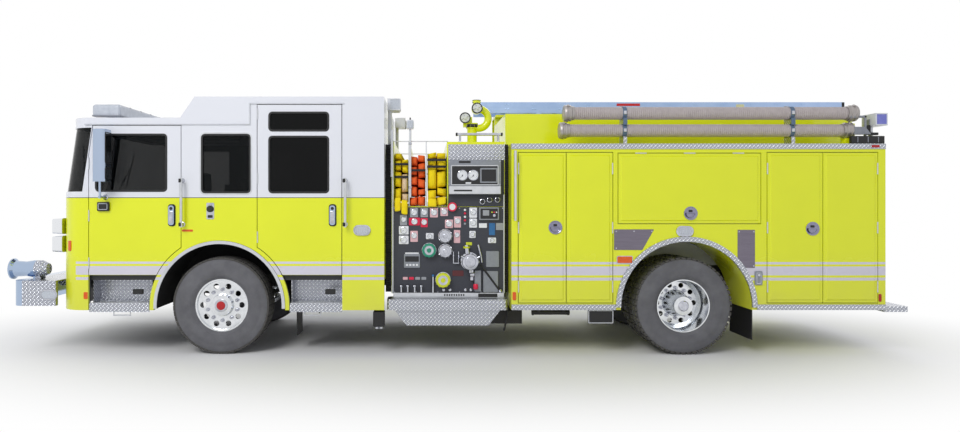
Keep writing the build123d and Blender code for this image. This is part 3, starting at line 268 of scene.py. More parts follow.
def truck_tyre(bm, axle_x, centre_y, width, lugged):
    """One tyre: wall rings, a rounded shoulder, and blocks between the grooves of its tread."""
    half = width / 2
    bead = 0.2868
    wall = [
        (bead, -half + 0.036), (bead + 0.012, -half + 0.022), (bead + 0.03, -half + 0.014),
        (bead + 0.034, -half + 0.010), (bead + 0.042, -half + 0.010), (bead + 0.046, -half + 0.006),
        (0.385, -half + 0.001), (0.42, -half),
        (0.425, -half + 0.003), (0.45, -half + 0.004), (0.478, -half + 0.010), (0.5, -half + 0.020),
        (0.506, -half + 0.034), (0.509, -half + 0.06),
    ]
    profile = wall + [(r, -w) for r, w in reversed(wall)] + [wall[0]]
    turned(bm, profile, (axle_x, centre_y, hub_z), (0, 1, 0), 0, 72)
    rows = 5
    pitch_count = 54
    row = (width - 0.07) / rows
    for index in range(pitch_count):
        angle = math.tau * index / pitch_count
        spin = Matrix.Rotation(angle, 3, "Y")
        for column in range(rows):
            edge = column in (0, rows - 1)
            if lugged and not edge and index % 2:
                continue
            length = tyre_radius * math.tau / pitch_count * (0.72 if (edge and lugged) else 0.93)
            shift = (index % 2) * 0.004
            y0 = centre_y - half + 0.035 + column * row + (0.004 if column else -0.020) + shift * (not edge)
            y1 = y0 + row - 0.008 + (0.022 if edge else 0)
            if column == rows - 1:
                y1 = centre_y + half - 0.015
            top = hub_z + tyre_radius
            low = top - (0.026 if edge else 0.024)
            slab(bm, (axle_x - length / 2, y0, low), (axle_x + length / 2, y1, top - (0.004 if edge else 0)), 1,
                 0.003, 1, spin, (axle_x, centre_y, hub_z))


for side, word in left_and_right:
    bm = bmesh.new()
    truck_tyre(bm, front_axle_x, -1.015, 0.315, False)
    piece = finish_piece(f"front_tyre_{word}_moulded", bm, (tyre_rubber, tread_rubber), f"front_wheel_{word}",
                         side)
    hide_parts(f"front_tyre_{word}")
    bm = bmesh.new()
    for centre_y in (-1.068, -0.738):
        truck_tyre(bm, rear_axle_x, centre_y, 0.285, True)
    piece = finish_piece(f"rear_tyres_{word}_moulded", bm, (tyre_rubber, tread_rubber), f"rear_wheels_{word}",
                         side)
    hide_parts(f"rear_tyres_{word}")

# Wheel discs: forged aluminium, lathe-turned and polished, so the finest marks run round the hub. Nuts and
# hub covers are chromed; the steer hub's centre is a red oil cap.
polished_disc, tree, shader = surface("lathe-polished forged aluminium", 0.16, 1.0, "#D9DBDE")
mottled(tree, shader, "#C3C6CB", "#EEF0F2", 0.05, (0.10, 0.24))
chrome, tree, shader = surface("chromium plate", 0.06, 1.0, "#E9EBEE")
mottled(tree, shader, "#9496A0", "#DADCE4", 0.05, (0.03, 0.12))
red_cap, tree, shader = surface("red moulded cap", 0.3, 0.0, "#B5121B")

for node in ("front_rim_left", "front_rim_right", "rear_rims_left", "rear_rims_right"):
    dress(node, polished_disc)


def around(count, radius, shift=0.5, centre=(0.0, 0.0)):
    """Points evenly spaced on a circle; shift is the first one's place as a share of the spacing."""
    angles = [math.tau * (index + shift) / count for index in range(count)]
    return [(centre[0] + radius * math.cos(angle), centre[1] + radius * math.sin(angle)) for angle in angles]


def wheel_nuts(bm, axle_x, face_y, circle, count):
    """Capped nuts on their circle, each on its washer face."""
    for x, z in around(count, circle, 0.5, (axle_x, hub_z)):
        rod(bm, (x, face_y + 0.006, z), (x, face_y - 0.006, z), 0.023, 0, 16)
        rod(bm, (x, face_y - 0.006, z), (x, face_y - 0.034, z), 0.0185, 0, 6, 0.016)
        rod(bm, (x, face_y - 0.034, z), (x, face_y - 0.040, z), 0.014, 0, 10, 0.009)


for side, word in left_and_right:
    bm = bmesh.new()
    wheel_nuts(bm, front_axle_x, -1.096, 0.1675, 10)
    hub = (front_axle_x, -1.06, hub_z)
    turned(bm, [(0.112, 0.0), (0.108, -0.05), (0.094, -0.075), (0.072, -0.082), (0.070, -0.100), (0.057, -0.104),
                (0.052, -0.1045), (0.0, -0.1045)], hub, (0, 1, 0), 0, 40)
    turned(bm, [(0.048, -0.1045), (0.045, -0.110), (0.03, -0.113), (0.0, -0.113)], hub, (0, 1, 0), 1, 32)
    finish_piece(f"front_hub_{word}", bm, (chrome, red_cap), f"front_wheel_{word}", side)
    bm = bmesh.new()
    wheel_nuts(bm, rear_axle_x, -0.934, 0.1675, 10)
    hub = (rear_axle_x, -0.93, hub_z)
    turned(bm, [(0.138, 0.0), (0.136, -0.03), (0.128, -0.10), (0.112, -0.165), (0.08, -0.215), (0.06, -0.228),
                (0.058, -0.26), (0.05, -0.268), (0.0, -0.270)], hub, (0, 1, 0), 0, 44)
    finish_piece(f"rear_hub_{word}", bm, (chrome,), f"rear_wheels_{word}", side)

# Cab shell: welded aluminium sheet in two-pack gloss, white above the belt and fluorescent lime below, with
# three reflective tapes round it. The panels are smooth, with a faint orange peel; dust lies low down.


def between(tree, value, low, high):
    """1 where a coordinate lies between two heights, 0 elsewhere."""
    above = add_node(tree, "ShaderNodeMath", {0: value, 1: low}, operation="GREATER_THAN")
    below = add_node(tree, "ShaderNodeMath", {0: value, 1: high}, operation="LESS_THAN")
    return add_node(tree, "ShaderNodeMath", {0: above, 1: below}, operation="MULTIPLY").outputs[0]


def laid_over(tree, mask, under, over):
    """One colour laid over another through a mask."""
    mix = add_node(tree, "ShaderNodeMix", {0: mask, 6: under, 7: over}, data_type="RGBA")
    return mix.outputs[2]


def either(tree, first, second):
    return add_node(tree, "ShaderNodeMath", {0: first, 1: second}, operation="MAXIMUM").outputs[0]


belt_z = 1.695
tape_heights = ((0.982, 1.007), (0.865, 0.960), (0.810, 0.841))


def less_than(tree, value, limit):
    return add_node(tree, "ShaderNodeMath", {0: value, 1: limit}, operation="LESS_THAN").outputs[0]


def both_true(tree, first, second):
    return add_node(tree, "ShaderNodeMath", {0: first, 1: second}, operation="MULTIPLY").outputs[0]


def cab_lining_and_ceiling_shade(tree, parts, across):
    """1 on the cab's lining: within its raked and rounded walls in plan, and under the roof or facing down; the dark
    on faces that look down, the ceiling, is painted shade.
    """
    along, height = parts.outputs["X"], parts.outputs["Z"]
    above_belt = add_node(tree, "ShaderNodeMath", {0: height, 1: belt_z}, operation="SUBTRACT")
    above_belt = add_node(tree, "ShaderNodeMath", {0: above_belt, 1: 0.0}, operation="MAXIMUM")
    nose = add_node(tree, "ShaderNodeMath", {0: above_belt, 1: 0.137, 2: -4.137}, operation="MULTIPLY_ADD")
    ahead = add_node(tree, "ShaderNodeMath", {0: nose, 1: along}, operation="SUBTRACT")
    ahead = add_node(tree, "ShaderNodeMath", {0: ahead, 1: 0.0}, operation="MAXIMUM")
    aside = add_node(tree, "ShaderNodeMath", {0: across, 1: 0.92}, operation="SUBTRACT")
    aside = add_node(tree, "ShaderNodeMath", {0: aside, 1: 0.0}, operation="MAXIMUM")
    away = add_node(tree, "ShaderNodeCombineXYZ", {0: ahead, 1: aside})
    away = add_node(tree, "ShaderNodeVectorMath", {0: away}, operation="LENGTH").outputs["Value"]
    in_plan = both_true(tree, less_than(tree, away, 0.27), less_than(tree, along, -0.94))
    below_roof = both_true(tree, between(tree, along, -2.30, 0), less_than(tree, height, 2.66))
    below_roof = either(tree, below_roof, less_than(tree, height, 2.44))
    facing = add_node(tree, "ShaderNodeNewGeometry").outputs["Normal"]
    facing = add_node(tree, "ShaderNodeSeparateXYZ", {0: facing}).outputs["Z"]
    return both_true(tree, in_plan, either(tree, below_roof, less_than(tree, facing, -0.3)))


def coach_paint(name, two_tone, skin_y, fitting_y=None):
    """Gloss paint outside skin_y with tapes, a dark lining inside it (on the ceiling a painted shade), and fittings
    beyond fitting_y in a blue-grey that is a painted sky reflection.
    """
    material, tree, shader = surface(name, 0.22)
    place = add_node(tree, "ShaderNodeTexCoord").outputs["Object"]
    parts = add_node(tree, "ShaderNodeSeparateXYZ", {0: place})
    across = add_node(tree, "ShaderNodeMath", {0: parts.outputs["Y"]}, operation="ABSOLUTE").outputs[0]
    height = parts.outputs["Z"]
    grain = add_node(tree, "ShaderNodeTexNoise", {"Vector": place, "Scale": 3.0, "Detail": 5.0})
    lime = add_node(tree, "ShaderNodeMix", {0: grain, 6: shade("#E3EA0A"), 7: shade("#EAF116")}, data_type="RGBA")
    colour = lime.outputs[2]
    tapes = None
    for low, high in tape_heights:
        tape = between(tree, height, low, high)
        tapes = tape if tapes is None else either(tree, tapes, tape)
    outside = between(tree, across, skin_y - 0.012, 3)
    tapes = add_node(tree, "ShaderNodeMath", {0: tapes, 1: outside}, operation="MULTIPLY").outputs[0]
    colour = laid_over(tree, tapes, colour, shade("#D6D3E2"))
    if two_tone:
        white_part = between(tree, height, belt_z, 9)
        colour = laid_over(tree, white_part, colour, shade("#E4E6EC"))
        colour = laid_over(tree, between(tree, height, belt_z - 0.005, belt_z + 0.003), colour, shade("#5E6058"))
    low_down = add_node(tree, "ShaderNodeMapRange", {0: height, 1: 1.15, 2: 0.45, 3: 0.0, 4: 0.5})
    dust = add_node(tree, "ShaderNodeMath", {0: low_down, 1: grain}, operation="MULTIPLY")
    colour = laid_over(tree, dust.outputs[0], colour, shade("#B9B070"))
    inside = cab_lining_and_ceiling_shade(tree, parts, across) if two_tone else None
    if two_tone:
        # Dark lining inside the cab: lining on its walls, and painted shade on its ceiling
        colour = laid_over(tree, inside, colour, shade("#2B2C30"))
    metal = None
    if fitting_y is not None:
        metal = between(tree, across, fitting_y, 9)
        # Blue-grey on the fittings: a painted reflection of the sky in their chrome
        colour = laid_over(tree, metal, colour, shade("#A9B8CF"))
        tree.links.new(metal, shader.inputs["Metallic"])
    tree.links.new(colour, shader.inputs["Base Color"])
    rough = add_node(tree, "ShaderNodeMapRange", {0: grain, 3: 0.16, 4: 0.30}).outputs[0]
    rough = add_node(tree, "ShaderNodeMath", {0: rough, 1: dust}, operation="ADD").outputs[0]
    if two_tone:
        rough = add_node(tree, "ShaderNodeMix", {0: inside, 2: rough, 3: 0.75}).outputs[0]
    tree.links.new(rough, shader.inputs["Roughness"])
    peel = add_node(tree, "ShaderNodeTexNoise", {"Vector": place, "Scale": 220.0, "Detail": 2.0})
    relief = add_node(tree, "ShaderNodeBump", {"Height": peel, "Strength": 0.06, "Distance": 0.001})
    tree.links.new(relief.outputs[0], shader.inputs["Normal"])
    shader.inputs["Coat Weight"].default_value = 0.35
    shader.inputs["Coat Roughness"].default_value = 0.05
    return material


cab_paint = coach_paint("two-tone cab gloss", True, 1.22)
door_paint = coach_paint("two-tone door gloss with fittings in painted sky reflection", True, 1.22, 1.2225)
for node in ("cab_front", "cab_walls", "cab_roof"):
    dress(node, cab_paint)
for word in ("left", "right"):
    dress(f"front_door_{word}", door_paint)
    dress(f"crew_door_{word}", door_paint)

# Window seals: extruded black rubber pressed round every pane; the crew panel's pane has a bright frame.

# Planes that plates lie on: the left side, the tail and a deck, each as its width, its height and its outward way
SIDE = Matrix(((1, 0, 0, 0), (0, 0, -1, 0), (0, 1, 0, 0), (0, 0, 0, 1)))
TAIL = Matrix(((0, 0, 1, 0), (1, 0, 0, 0), (0, 1, 0, 0), (0, 0, 0, 1)))
DECK = Matrix.Identity(4)


def outline(centre, size, radius, inset):
    """A rounded rectangle's outline, drawn in by an inset; six points round each corner."""
    half_u, half_v = size[0] / 2 - inset, size[1] / 2 - inset
    round_off = min(max(radius - inset, 0.0008), half_u * 0.98, half_v * 0.98)
    points = []
    for quarter, (u, v) in enumerate(((1, 1), (-1, 1), (-1, -1), (1, -1))):
        for step in range(6):
            angle = math.pi / 2 * (quarter + step / 5)
            points.append((centre[0] + u * (half_u - round_off) + round_off * math.cos(angle),
                           centre[1] + v * (half_v - round_off) + round_off * math.sin(angle)))
    return points


def plate(bm, plane, centre, size, radius, rise, depth, finish=0, rim=None, bevel=0.0):
    """A round-cornered plate on a face, or a frame of the rim's width; rise is how far its front stands out."""
    levels = [(0.0, rise - depth), (0.0, rise)]
    if bevel:
        levels[1:] = [(0.0, rise - bevel), (bevel, rise)]
    if rim is not None:
        levels += [(rim, rise), (rim, rise - depth)]
    loops = [[bm.verts.new(plane @ Vector((u, v, height))) for u, v in outline(centre, size, radius, inset)]
             for inset, height in levels]
    pairs = list(zip(loops, loops[1:]))
    if rim is not None:
        pairs.append((loops[-1], loops[0]))
    made = [] if rim is not None else [bm.faces.new(loops[0][::-1]), bm.faces.new(loops[-1])]
    for one, two in pairs:
        for index in range(len(one)):
            after = (index + 1) % len(one)
            made.append(bm.faces.new((one[index], one[after], two[after], two[index])))
    for face in made:
        face.material_index = finish


black_rubber, tree, shader = surface("extruded black rubber")
mottled(tree, shader, "#101011", "#1E1E20", 0.03, (0.5, 0.75), 0.0006)
bright_frame, tree, shader = surface("satin anodised aluminium", 0.3, 1.0)
mottled(tree, shader, "#B9BCC1", "#D6D8DC", 0.06, (0.25, 0.4))

panes = {
    "front_door": [(-4.008, -3.232, 1.756, 2.382)],
    "crew_door": [(-2.147, -1.493, 1.740, 2.359), (-2.147, -1.493, 2.404, 2.618)],
    "vehicle": [(-2.870, -2.335, 1.740, 2.381)],
}
for side, word in left_and_right:
    for owner, openings in panes.items():
        body = owner if owner == "vehicle" else f"{owner}_{word}"
        bm = bmesh.new()
        for x0, x1, z0, z1 in openings:
            centre = ((x0 + x1) / 2, (z0 + z1) / 2)
            size = (x1 - x0, z1 - z0)
            plate(bm, SIDE, centre, size, 0.045, 1.2235, 0.024, 0, 0.020)
            if owner == "vehicle":
                plate(bm, SIDE, centre, (size[0] + 0.03, size[1] + 0.03), 0.055, 1.2225, 0.003, 1, 0.016)
            if owner == "front_door":
                rod(bm, (x0 + 0.07, -1.2175, z0), (x0 + 0.07, -1.2175, z1), 0.006, 0, 8)
        finish_piece(f"{owner}_seals_{word}", bm, (black_rubber, bright_frame), body, side)

# Glass: toughened sheet, grey-green in the screen and front doors and nearly black in the crew windows.


def pane_glass(name, tint, see_through):
    material, tree, shader = surface(name, 0.04, 0.0, tint)
    place = add_node(tree, "ShaderNodeTexCoord").outputs["Object"]
    wave = add_node(tree, "ShaderNodeTexNoise", {"Vector": place, "Scale": 2.2, "Detail": 1.0})
    relief = add_node(tree, "ShaderNodeBump", {"Height": wave, "Strength": 0.05, "Distance": 0.01})
    tree.links.new(relief.outputs[0], shader.inputs["Normal"])
    shader.inputs["IOR"].default_value = 1.5
    shader.inputs["Specular IOR Level"].default_value = 0.16
    shader.inputs["Alpha"].default_value = see_through
    return material


screen_glass = pane_glass("laminated screen glass", "#070B0D", 0.62)
privacy_glass = pane_glass("dark tinted glass", "#030405", 0.93)
dress("cab_glass", screen_glass)
for word in ("left", "right"):
    dress(f"front_glass_{word}", screen_glass)
    dress(f"crew_glass_{word}", privacy_glass)

# Cab interior: seats and hood in grey vinyl over foam, the floor in ribbed rubber mat.
vinyl, tree, shader = surface("grained grey vinyl")
mottled(tree, shader, "#26272A", "#37383C", 0.02, (0.55, 0.75), 0.001)
floor_mat, tree, shader = surface("rubber floor mat")
mottled(tree, shader, "#141415", "#232324", 0.03, (0.8, 0.95), 0.001)
dress("cab_interior", vinyl)
dress("cab_floor", floor_mat)

# Front end: a chromed bumper with tread-plate ends, a chromed mechanical siren, a chromed grille and lamps.


def own_axes(tree):
    """The two coordinates that lie in each flat face: X and Z on a side, X and Y on a top, Y and Z on an end."""
    place = add_node(tree, "ShaderNodeTexCoord").outputs["Object"]
    at = add_node(tree, "ShaderNodeSeparateXYZ", {0: place})
    facing = add_node(tree, "ShaderNodeNewGeometry").outputs["Normal"]
    facing = add_node(tree, "ShaderNodeVectorMath", {0: facing}, operation="ABSOLUTE")
    way = add_node(tree, "ShaderNodeSeparateXYZ", {0: facing})
    side = add_node(tree, "ShaderNodeCombineXYZ", {0: at.outputs["X"], 1: at.outputs["Z"]})
    top = add_node(tree, "ShaderNodeCombineXYZ", {0: at.outputs["X"], 1: at.outputs["Y"]})
    end = add_node(tree, "ShaderNodeCombineXYZ", {0: at.outputs["Y"], 1: at.outputs["Z"]})
    is_top = add_node(tree, "ShaderNodeMath", {0: way.outputs["Z"], 1: 0.7}, operation="GREATER_THAN")
    is_end = add_node(tree, "ShaderNodeMath", {0: way.outputs["X"], 1: 0.7}, operation="GREATER_THAN")
    flat = add_node(tree, "ShaderNodeMix", {0: is_top, 4: side, 5: top}, data_type="VECTOR")
    flat = add_node(tree, "ShaderNodeMix", {0: is_end, 4: flat.outputs[1], 5: end}, data_type="VECTOR")
    return flat.outputs[1]


def raised_diamonds(tree, flat, pitch):
    """Rolled lozenges, two ways by turns; 1 on a lozenge and 0 between."""
    found = None
    for turn, step in ((45, 0.0), (-45, 0.5)):
        cell = add_node(tree, "ShaderNodeVectorMath", {0: flat, 1: (1 / pitch,) * 3, 2: (step,) * 3},
                        operation="MULTIPLY_ADD")
        cell = add_node(tree, "ShaderNodeVectorMath", {0: cell}, operation="FRACTION")
        cell = add_node(tree, "ShaderNodeVectorMath", {0: cell, 1: (0.5, 0.5, 0)}, operation="SUBTRACT")
        cell = add_node(tree, "ShaderNodeMapping", {0: cell, 2: (0, 0, math.radians(turn)), 3: (0.46, 0.15, 1)},
                        vector_type="TEXTURE")
        reach = add_node(tree, "ShaderNodeVectorMath", {0: cell}, operation="LENGTH")
        lozenge = add_node(tree, "ShaderNodeMapRange", {0: reach.outputs["Value"], 1: 1.0, 2: 0.55, 3: 0.0, 4: 1.0})
        found = lozenge.outputs[0] if found is None else either(tree, found, lozenge.outputs[0])
    return found


# Rolled aluminium tread plate: bright lozenges on a duller ground. The pitch is drawn at 42 mm, a third
# coarser than the real plate, so that the lozenges still show in the picture.
tread_plate, tree, shader = surface("rolled aluminium tread plate", 0.3, 1.0)
lozenges = raised_diamonds(tree, own_axes(tree), 0.042)
tree.links.new(laid_over(tree, lozenges, shade("#A3A6B0"), shade("#F1F3F7")), shader.inputs["Base Color"])
relief = add_node(tree, "ShaderNodeBump", {"Height": lozenges, "Strength": 0.9, "Distance": 0.004})
tree.links.new(relief.outputs[0], shader.inputs["Normal"])

# The bumper is one weldment: chrome in front and tread plate on its returns, behind the bend; the chrome's blue-grey
# is a painted sky reflection
bumper_metal, tree, shader = surface("chromed bumper with tread-plate returns", 0.08, 1.0)
place = add_node(tree, "ShaderNodeTexCoord").outputs["Object"]
along = add_node(tree, "ShaderNodeSeparateXYZ", {0: place}).outputs["X"]
lozenges = raised_diamonds(tree, own_axes(tree), 0.042)
returns = between(tree, along, -4.80, -4.40)
raised = add_node(tree, "ShaderNodeMath", {0: lozenges, 1: returns}, operation="MULTIPLY").outputs[0]
# Blue-grey ground on the chrome in front is a painted reflection of the sky; grey ground on the returns
ground = laid_over(tree, returns, shade("#A9BAD2"), shade("#A3A6B0"))
tree.links.new(laid_over(tree, raised, ground, shade("#E4E7EC")), shader.inputs["Base Color"])
relief = add_node(tree, "ShaderNodeBump", {"Height": raised, "Strength": 0.9, "Distance": 0.004})
tree.links.new(relief.outputs[0], shader.inputs["Normal"])
dress("bumper", bumper_metal)
dress("grille", chrome)

# The lamp node is chromed at the nose; its flood lamps, all above the belt, are white powder coat
lamp_finish, tree, shader = surface("chromed pods and white flood lamps")
place = add_node(tree, "ShaderNodeTexCoord").outputs["Object"]
lofty = between(tree, add_node(tree, "ShaderNodeSeparateXYZ", {0: place}).outputs["Z"], 1.9, 9)
patches = add_node(tree, "ShaderNodeTexNoise", {"Vector": place, "Scale": 12.0})
coat = laid_over(tree, patches.outputs[0], shade("#CFD2D8"), shade("#E4E6EA"))
tree.links.new(laid_over(tree, lofty, shade("#E6E8EB"), coat), shader.inputs["Base Color"])
tree.links.new(add_node(tree, "ShaderNodeMath", {0: 1.0, 1: lofty}, operation="SUBTRACT").outputs[0],
               shader.inputs["Metallic"])
tree.links.new(add_node(tree, "ShaderNodeMapRange", {0: lofty, 3: 0.08, 4: 0.32}).outputs[0],
               shader.inputs["Roughness"])
dress("lamps", lamp_finish)

# Lightbar: clear polycarbonate over red reflectors. It is a moulded box on two feet across the cab.
lightbar_lens, tree, shader = surface("moulded lightbar lens", 0.12)
mottled(tree, shader, "#A9B0BA", "#D8DDE4", 0.06, (0.08, 0.2))
dress("lightbar", lightbar_lens)

# Steps and running boards: folded tread plate, with its risers, and flaps of stiff rubber behind the wheels.
dress("steps", tread_plate)
dress("mud_flaps", black_rubber)

# Pump module: a painted housing with three hose bays; the operator's panel is black-crackled steel plate.
module_paint = coach_paint("module gloss", False, 9)
dress("pump_house", module_paint)
panel_black, tree, shader = surface("crackle-finished panel plate")
mottled(tree, shader, "#24262E", "#3C3F4A", 0.012, (0.4, 0.6), 0.0008)
dress("pump_panels", panel_black)

# Deck gun: castings painted in the module's lime.
dress("gun_base", module_paint)
dress("gun_barrel", module_paint)

# Body: two welded banks of lockers in the same lime gloss, their doors lapped with bevelled panels.
body_paint = coach_paint("body gloss with tapes", False, 1.27)
for node in ("body_left", "body_right", "hosebed", "rear_door"):
    dress(node, body_paint)
for word in ("left", "right"):
    for leaf in ("front_leaf_a", "front_leaf_b", "rear_leaf_a", "rear_leaf_b", "lift_door_middle"):
        dress(f"{leaf}_{word}", body_paint)
dress("body_trim", tread_plate)
dress("grab_rails", bright_frame)

# Hose bed and ladder: a white tank in welded plastic sheet, and a ladder of extruded aluminium sections. The
# suction hoses' rubber is named here, for the corrugated hoses further down.
tank_plastic, tree, shader = surface("polypropylene tank wall")
mottled(tree, shader, "#B9BAB6", "#CDCEC9", 0.1, (0.5, 0.7))
dress("water_tank", tank_plastic)
# The ladder's blue is a painted reflection of the sky on its bare aluminium
ladder_metal_sky_tinted, tree, shader = surface("mill-finished ladder section", 0.35, 1.0)
mottled(tree, shader, "#8EA8D0", "#B4C7E6", 0.2, (0.28, 0.45))
dress("ladder", ladder_metal_sky_tinted)
suction_rubber, tree, shader = surface("ribbed suction hose")
mottled(tree, shader, "#A79D9C", "#C6BDBB", 0.05, (0.5, 0.7), 0.002)

# Cab fittings: cast paddle handles on black escutcheons, flanged grab rods, a shoreline inlet, amber markers and
# oval warning lamps in chromed bezels. All are screwed to the skin from outside.
amber_lens, tree, shader = surface("moulded amber lens", 0.12)
mottled(tree, shader, "#D23C04", "#F2700C", 0.015, (0.08, 0.2), 0.0008)
clear_lens, tree, shader = surface("fluted clear lens", 0.1)
mottled(tree, shader, "#9AA2AC", "#DCE1E8", 0.012, (0.05, 0.18), 0.0012)
red_lens, tree, shader = surface("moulded red lens", 0.12)
mottled(tree, shader, "#8E0610", "#C8101C", 0.015, (0.08, 0.2), 0.0008)
mirror_glass, tree, shader = surface("silvered mirror glass", 0.02, 1.0)
mottled(tree, shader, "#9AA4AE", "#B6BEC6", 0.2, (0.01, 0.04))
white_gloss, tree, shader = surface("white powder coat", 0.3)
mottled(tree, shader, "#CFD2D8", "#E4E6EA", 0.08, (0.25, 0.4), 0.0004)



def oval_lamp(bm, centre, bezel_rise, lens_size, lens_rise, lens_depth, bezel_finish, lens_finish):
    """A dished chrome bezel round a lens with seven flutes."""
    plate(bm, SIDE, centre, (0.186, 0.114), 0.055, bezel_rise, 0.017, bezel_finish, 0.016, 0.003)
    plate(bm, SIDE, centre, lens_size, 0.04, lens_rise, lens_depth, lens_finish, None, 0.0012)
    for step in range(7):
        plate(bm, SIDE, (centre[0] - 0.055 + step * 0.0185, centre[1]), (0.006, 0.066), 0.003, bezel_rise - 0.0005,
              0.0025, bezel_finish)


def paddle_handle(bm, x):
    """A cast paddle pull with its keyhole, on a black escutcheon."""
    plate(bm, SIDE, (x, 1.505), (0.082, 0.238), 0.03, 1.2232, 0.003, 1, None, 0.001)
    plate(bm, SIDE, (x, 1.578), (0.034, 0.034), 0.016, 1.2500, 0.003, 1)
    slab(bm, (x - 0.022, -1.2535, 1.418), (x + 0.022, -1.247, 1.548), 0, 0.003, 2)


front_rod_x = -3.066
crew_rod_x = -1.321
for side, word in left_and_right:
    bm = bmesh.new()
    for rod_x in (front_rod_x, crew_rod_x):
        for z in (1.408, 1.875):
            turned(bm, [(0.027, 0.0), (0.027, 0.004), (0.019, 0.008), (0.014, 0.020)], (rod_x, -1.2202, z),
                   (0, -1, 0), 0, 20)
            turned(bm, [(0.0185, -0.02), (0.0195, 0.0), (0.0185, 0.02)], (rod_x, -1.295, z), (0, 0, 1), 1, 16)
    # Oval warning lamp behind the crew door
    oval_lamp(bm, (-1.141, 1.344), 1.238, (0.152, 0.082), 1.2362, 0.003, 0, 3)
    # Shoreline inlet with its sprung cap
    plate(bm, SIDE, (-2.770, 1.550), (0.084, 0.178), 0.012, 1.2235, 0.004, 0, None, 0.001)
    turned(bm, [(0.034, 0.0), (0.034, 0.022), (0.029, 0.028), (0.0, 0.030)], (-2.770, -1.2235, 1.572), (0, -1, 0),
           1, 24)
    slab(bm, (-2.788, -1.236, 1.606), (-2.752, -1.222, 1.622), 0, 0.003)
    plate(bm, SIDE, (-2.770, 1.492), (0.052, 0.030), 0.006, 1.2262, 0.003, 1)
    # Amber strip low on the crew panel, and the two markers at the nose
    plate(bm, SIDE, (-3.015, 1.340), (0.118, 0.022), 0.008, 1.2245, 0.006, 2, None, 0.0015)
    plate(bm, SIDE, (-4.108, 0.6425), (0.044, 0.074), 0.008, 1.2245, 0.006, 2, None, 0.0015)
    corner = Matrix.Translation((-4.137, -0.92, 0)) @ Matrix.Rotation(math.radians(-33), 4, "Z")
    before = set(bm.verts)
    plate(bm, SIDE, (0, 1.174), (0.048, 0.11), 0.01, 0.3085, 0.012, 2, None, 0.002)
    bmesh.ops.transform(bm, matrix=corner, verts=list(set(bm.verts) - before))
    finish_piece(f"cab_fittings_{word}", bm, (chrome, black_rubber, amber_lens, clear_lens), "vehicle", side)
    # What rides on each door: the escutcheon and pull of its handle, and a small side lamp below the mirror
    bm = bmesh.new()
    paddle_handle(bm, -3.183)
    slab(bm, (-3.976, -1.252, 1.550), (-3.847, -1.2205, 1.647), 1, 0.010, 2)
    plate(bm, SIDE, (-3.9115, 1.5985), (0.10, 0.068), 0.012, 1.2545, 0.004, 3, 0.006)
    # Mirror: two silvered panes facing back in black rims, and clamps on the arms
    for z, tall in ((2.215, 0.33), (1.945, 0.13)):
        plate(bm, TAIL, (-1.370, z), (0.146, tall), 0.02, -3.793, 0.005, 1, 0.008)
        plate(bm, TAIL, (-1.370, z), (0.130, tall - 0.016), 0.014, -3.7945, 0.003, 2)
    for z in (1.700, 2.400):
        turned(bm, [(0.030, 0.0), (0.030, 0.006), (0.022, 0.012)], (-3.895, -1.2202, z), (0, -1, 0), 0, 20)
    finish_piece(f"front_door_fittings_{word}", bm, (chrome, black_rubber, mirror_glass, clear_lens),
                 f"front_door_{word}", side)
    bm = bmesh.new()
    paddle_handle(bm, -1.456)
    finish_piece(f"crew_door_fittings_{word}", bm, (chrome, black_rubber), f"crew_door_{word}", side)

# Cab steps: folded tread-plate wells with an open-grip tread, a bright edge on each, and a drop ring below.
bm = bmesh.new()
for x0, x1, ring in ((-4.068, -3.436, (-3.820, -3.640)), (-1.908, -1.368, (-1.760, -1.590))):
    slab(bm, (x0, -1.2165, 0.5575), (x1, -1.200, 0.5645), 0, 0.002)
    for index in range(int((x1 - x0 - 0.06) / 0.030)):
        x = x0 + 0.045 + index * 0.030
        for row in range(4):
            turned(bm, [(0.0095, 0.0), (0.0075, 0.0035), (0.0045, 0.0035)], (x, -1.165 + row * 0.055, 0.557),
                   (0, 0, 1), 0, 8)
    for x in ring:
        rod(bm, (x, -1.190, 0.467), (x, -1.190, 0.425), 0.006, 0, 10)
    rod(bm, (ring[0] - 0.004, -1.190, 0.427), (ring[1] + 0.004, -1.190, 0.427), 0.0075, 0, 10)
    slab(bm, (x1 - 0.17, -1.2185, 0.655), (x1 - 0.06, -1.185, 0.710), 1, 0.006)
finish_piece("cab_step_treads", bm, (bright_frame, black_rubber), "vehicle", -1, True)

# Headlamps and nose: two lamps in each chromed pod with a fluted lens over each, five amber markers on the roof's
# front edge, and two wipers with rubber blades.
bm = bmesh.new()
for z in (1.187, 1.382):
    for y in (-0.997, -0.863):
        turned(bm, [(0.0585, 0.0), (0.0585, 0.012), (0.054, 0.016), (0.052, 0.012)], (-4.533, y, z), (-1, 0, 0),
               0, 32)
        turned(bm, [(0.054, 0.004), (0.046, 0.010), (0.028, 0.014), (0.0, 0.0155)], (-4.533, y, z), (-1, 0, 0), 1, 32)
finish_piece("headlamp_lenses", bm, (chrome, clear_lens), "vehicle", -1, True)
bm = bmesh.new()
for y in (-0.80, -0.24, 0.0, 0.24, 0.80):
    plate(bm, DECK, (-4.150, y), (0.05, 0.10), 0.02, 2.574, 0.021, 1, None, 0.006)
for side in (-1, 1):
    # Wiper: a driven arm from the scuttle to a blade laid on the pane
    pivot = (-4.447, side * 0.30, 1.715)
    rod(bm, pivot, (pivot[0] - 0.022, pivot[1], pivot[2]), 0.016, 0, 14)
    rod(bm, (-4.466, side * 0.30, 1.715), (-4.412, side * 0.62, 2.09), 0.006, 0, 8)
    rod(bm, (-4.440, side * 0.56, 1.84), (-4.385, side * 0.70, 2.30), 0.007, 0, 8)
finish_piece("wipers_and_roof_markers", bm, (black_rubber, amber_lens), "vehicle")
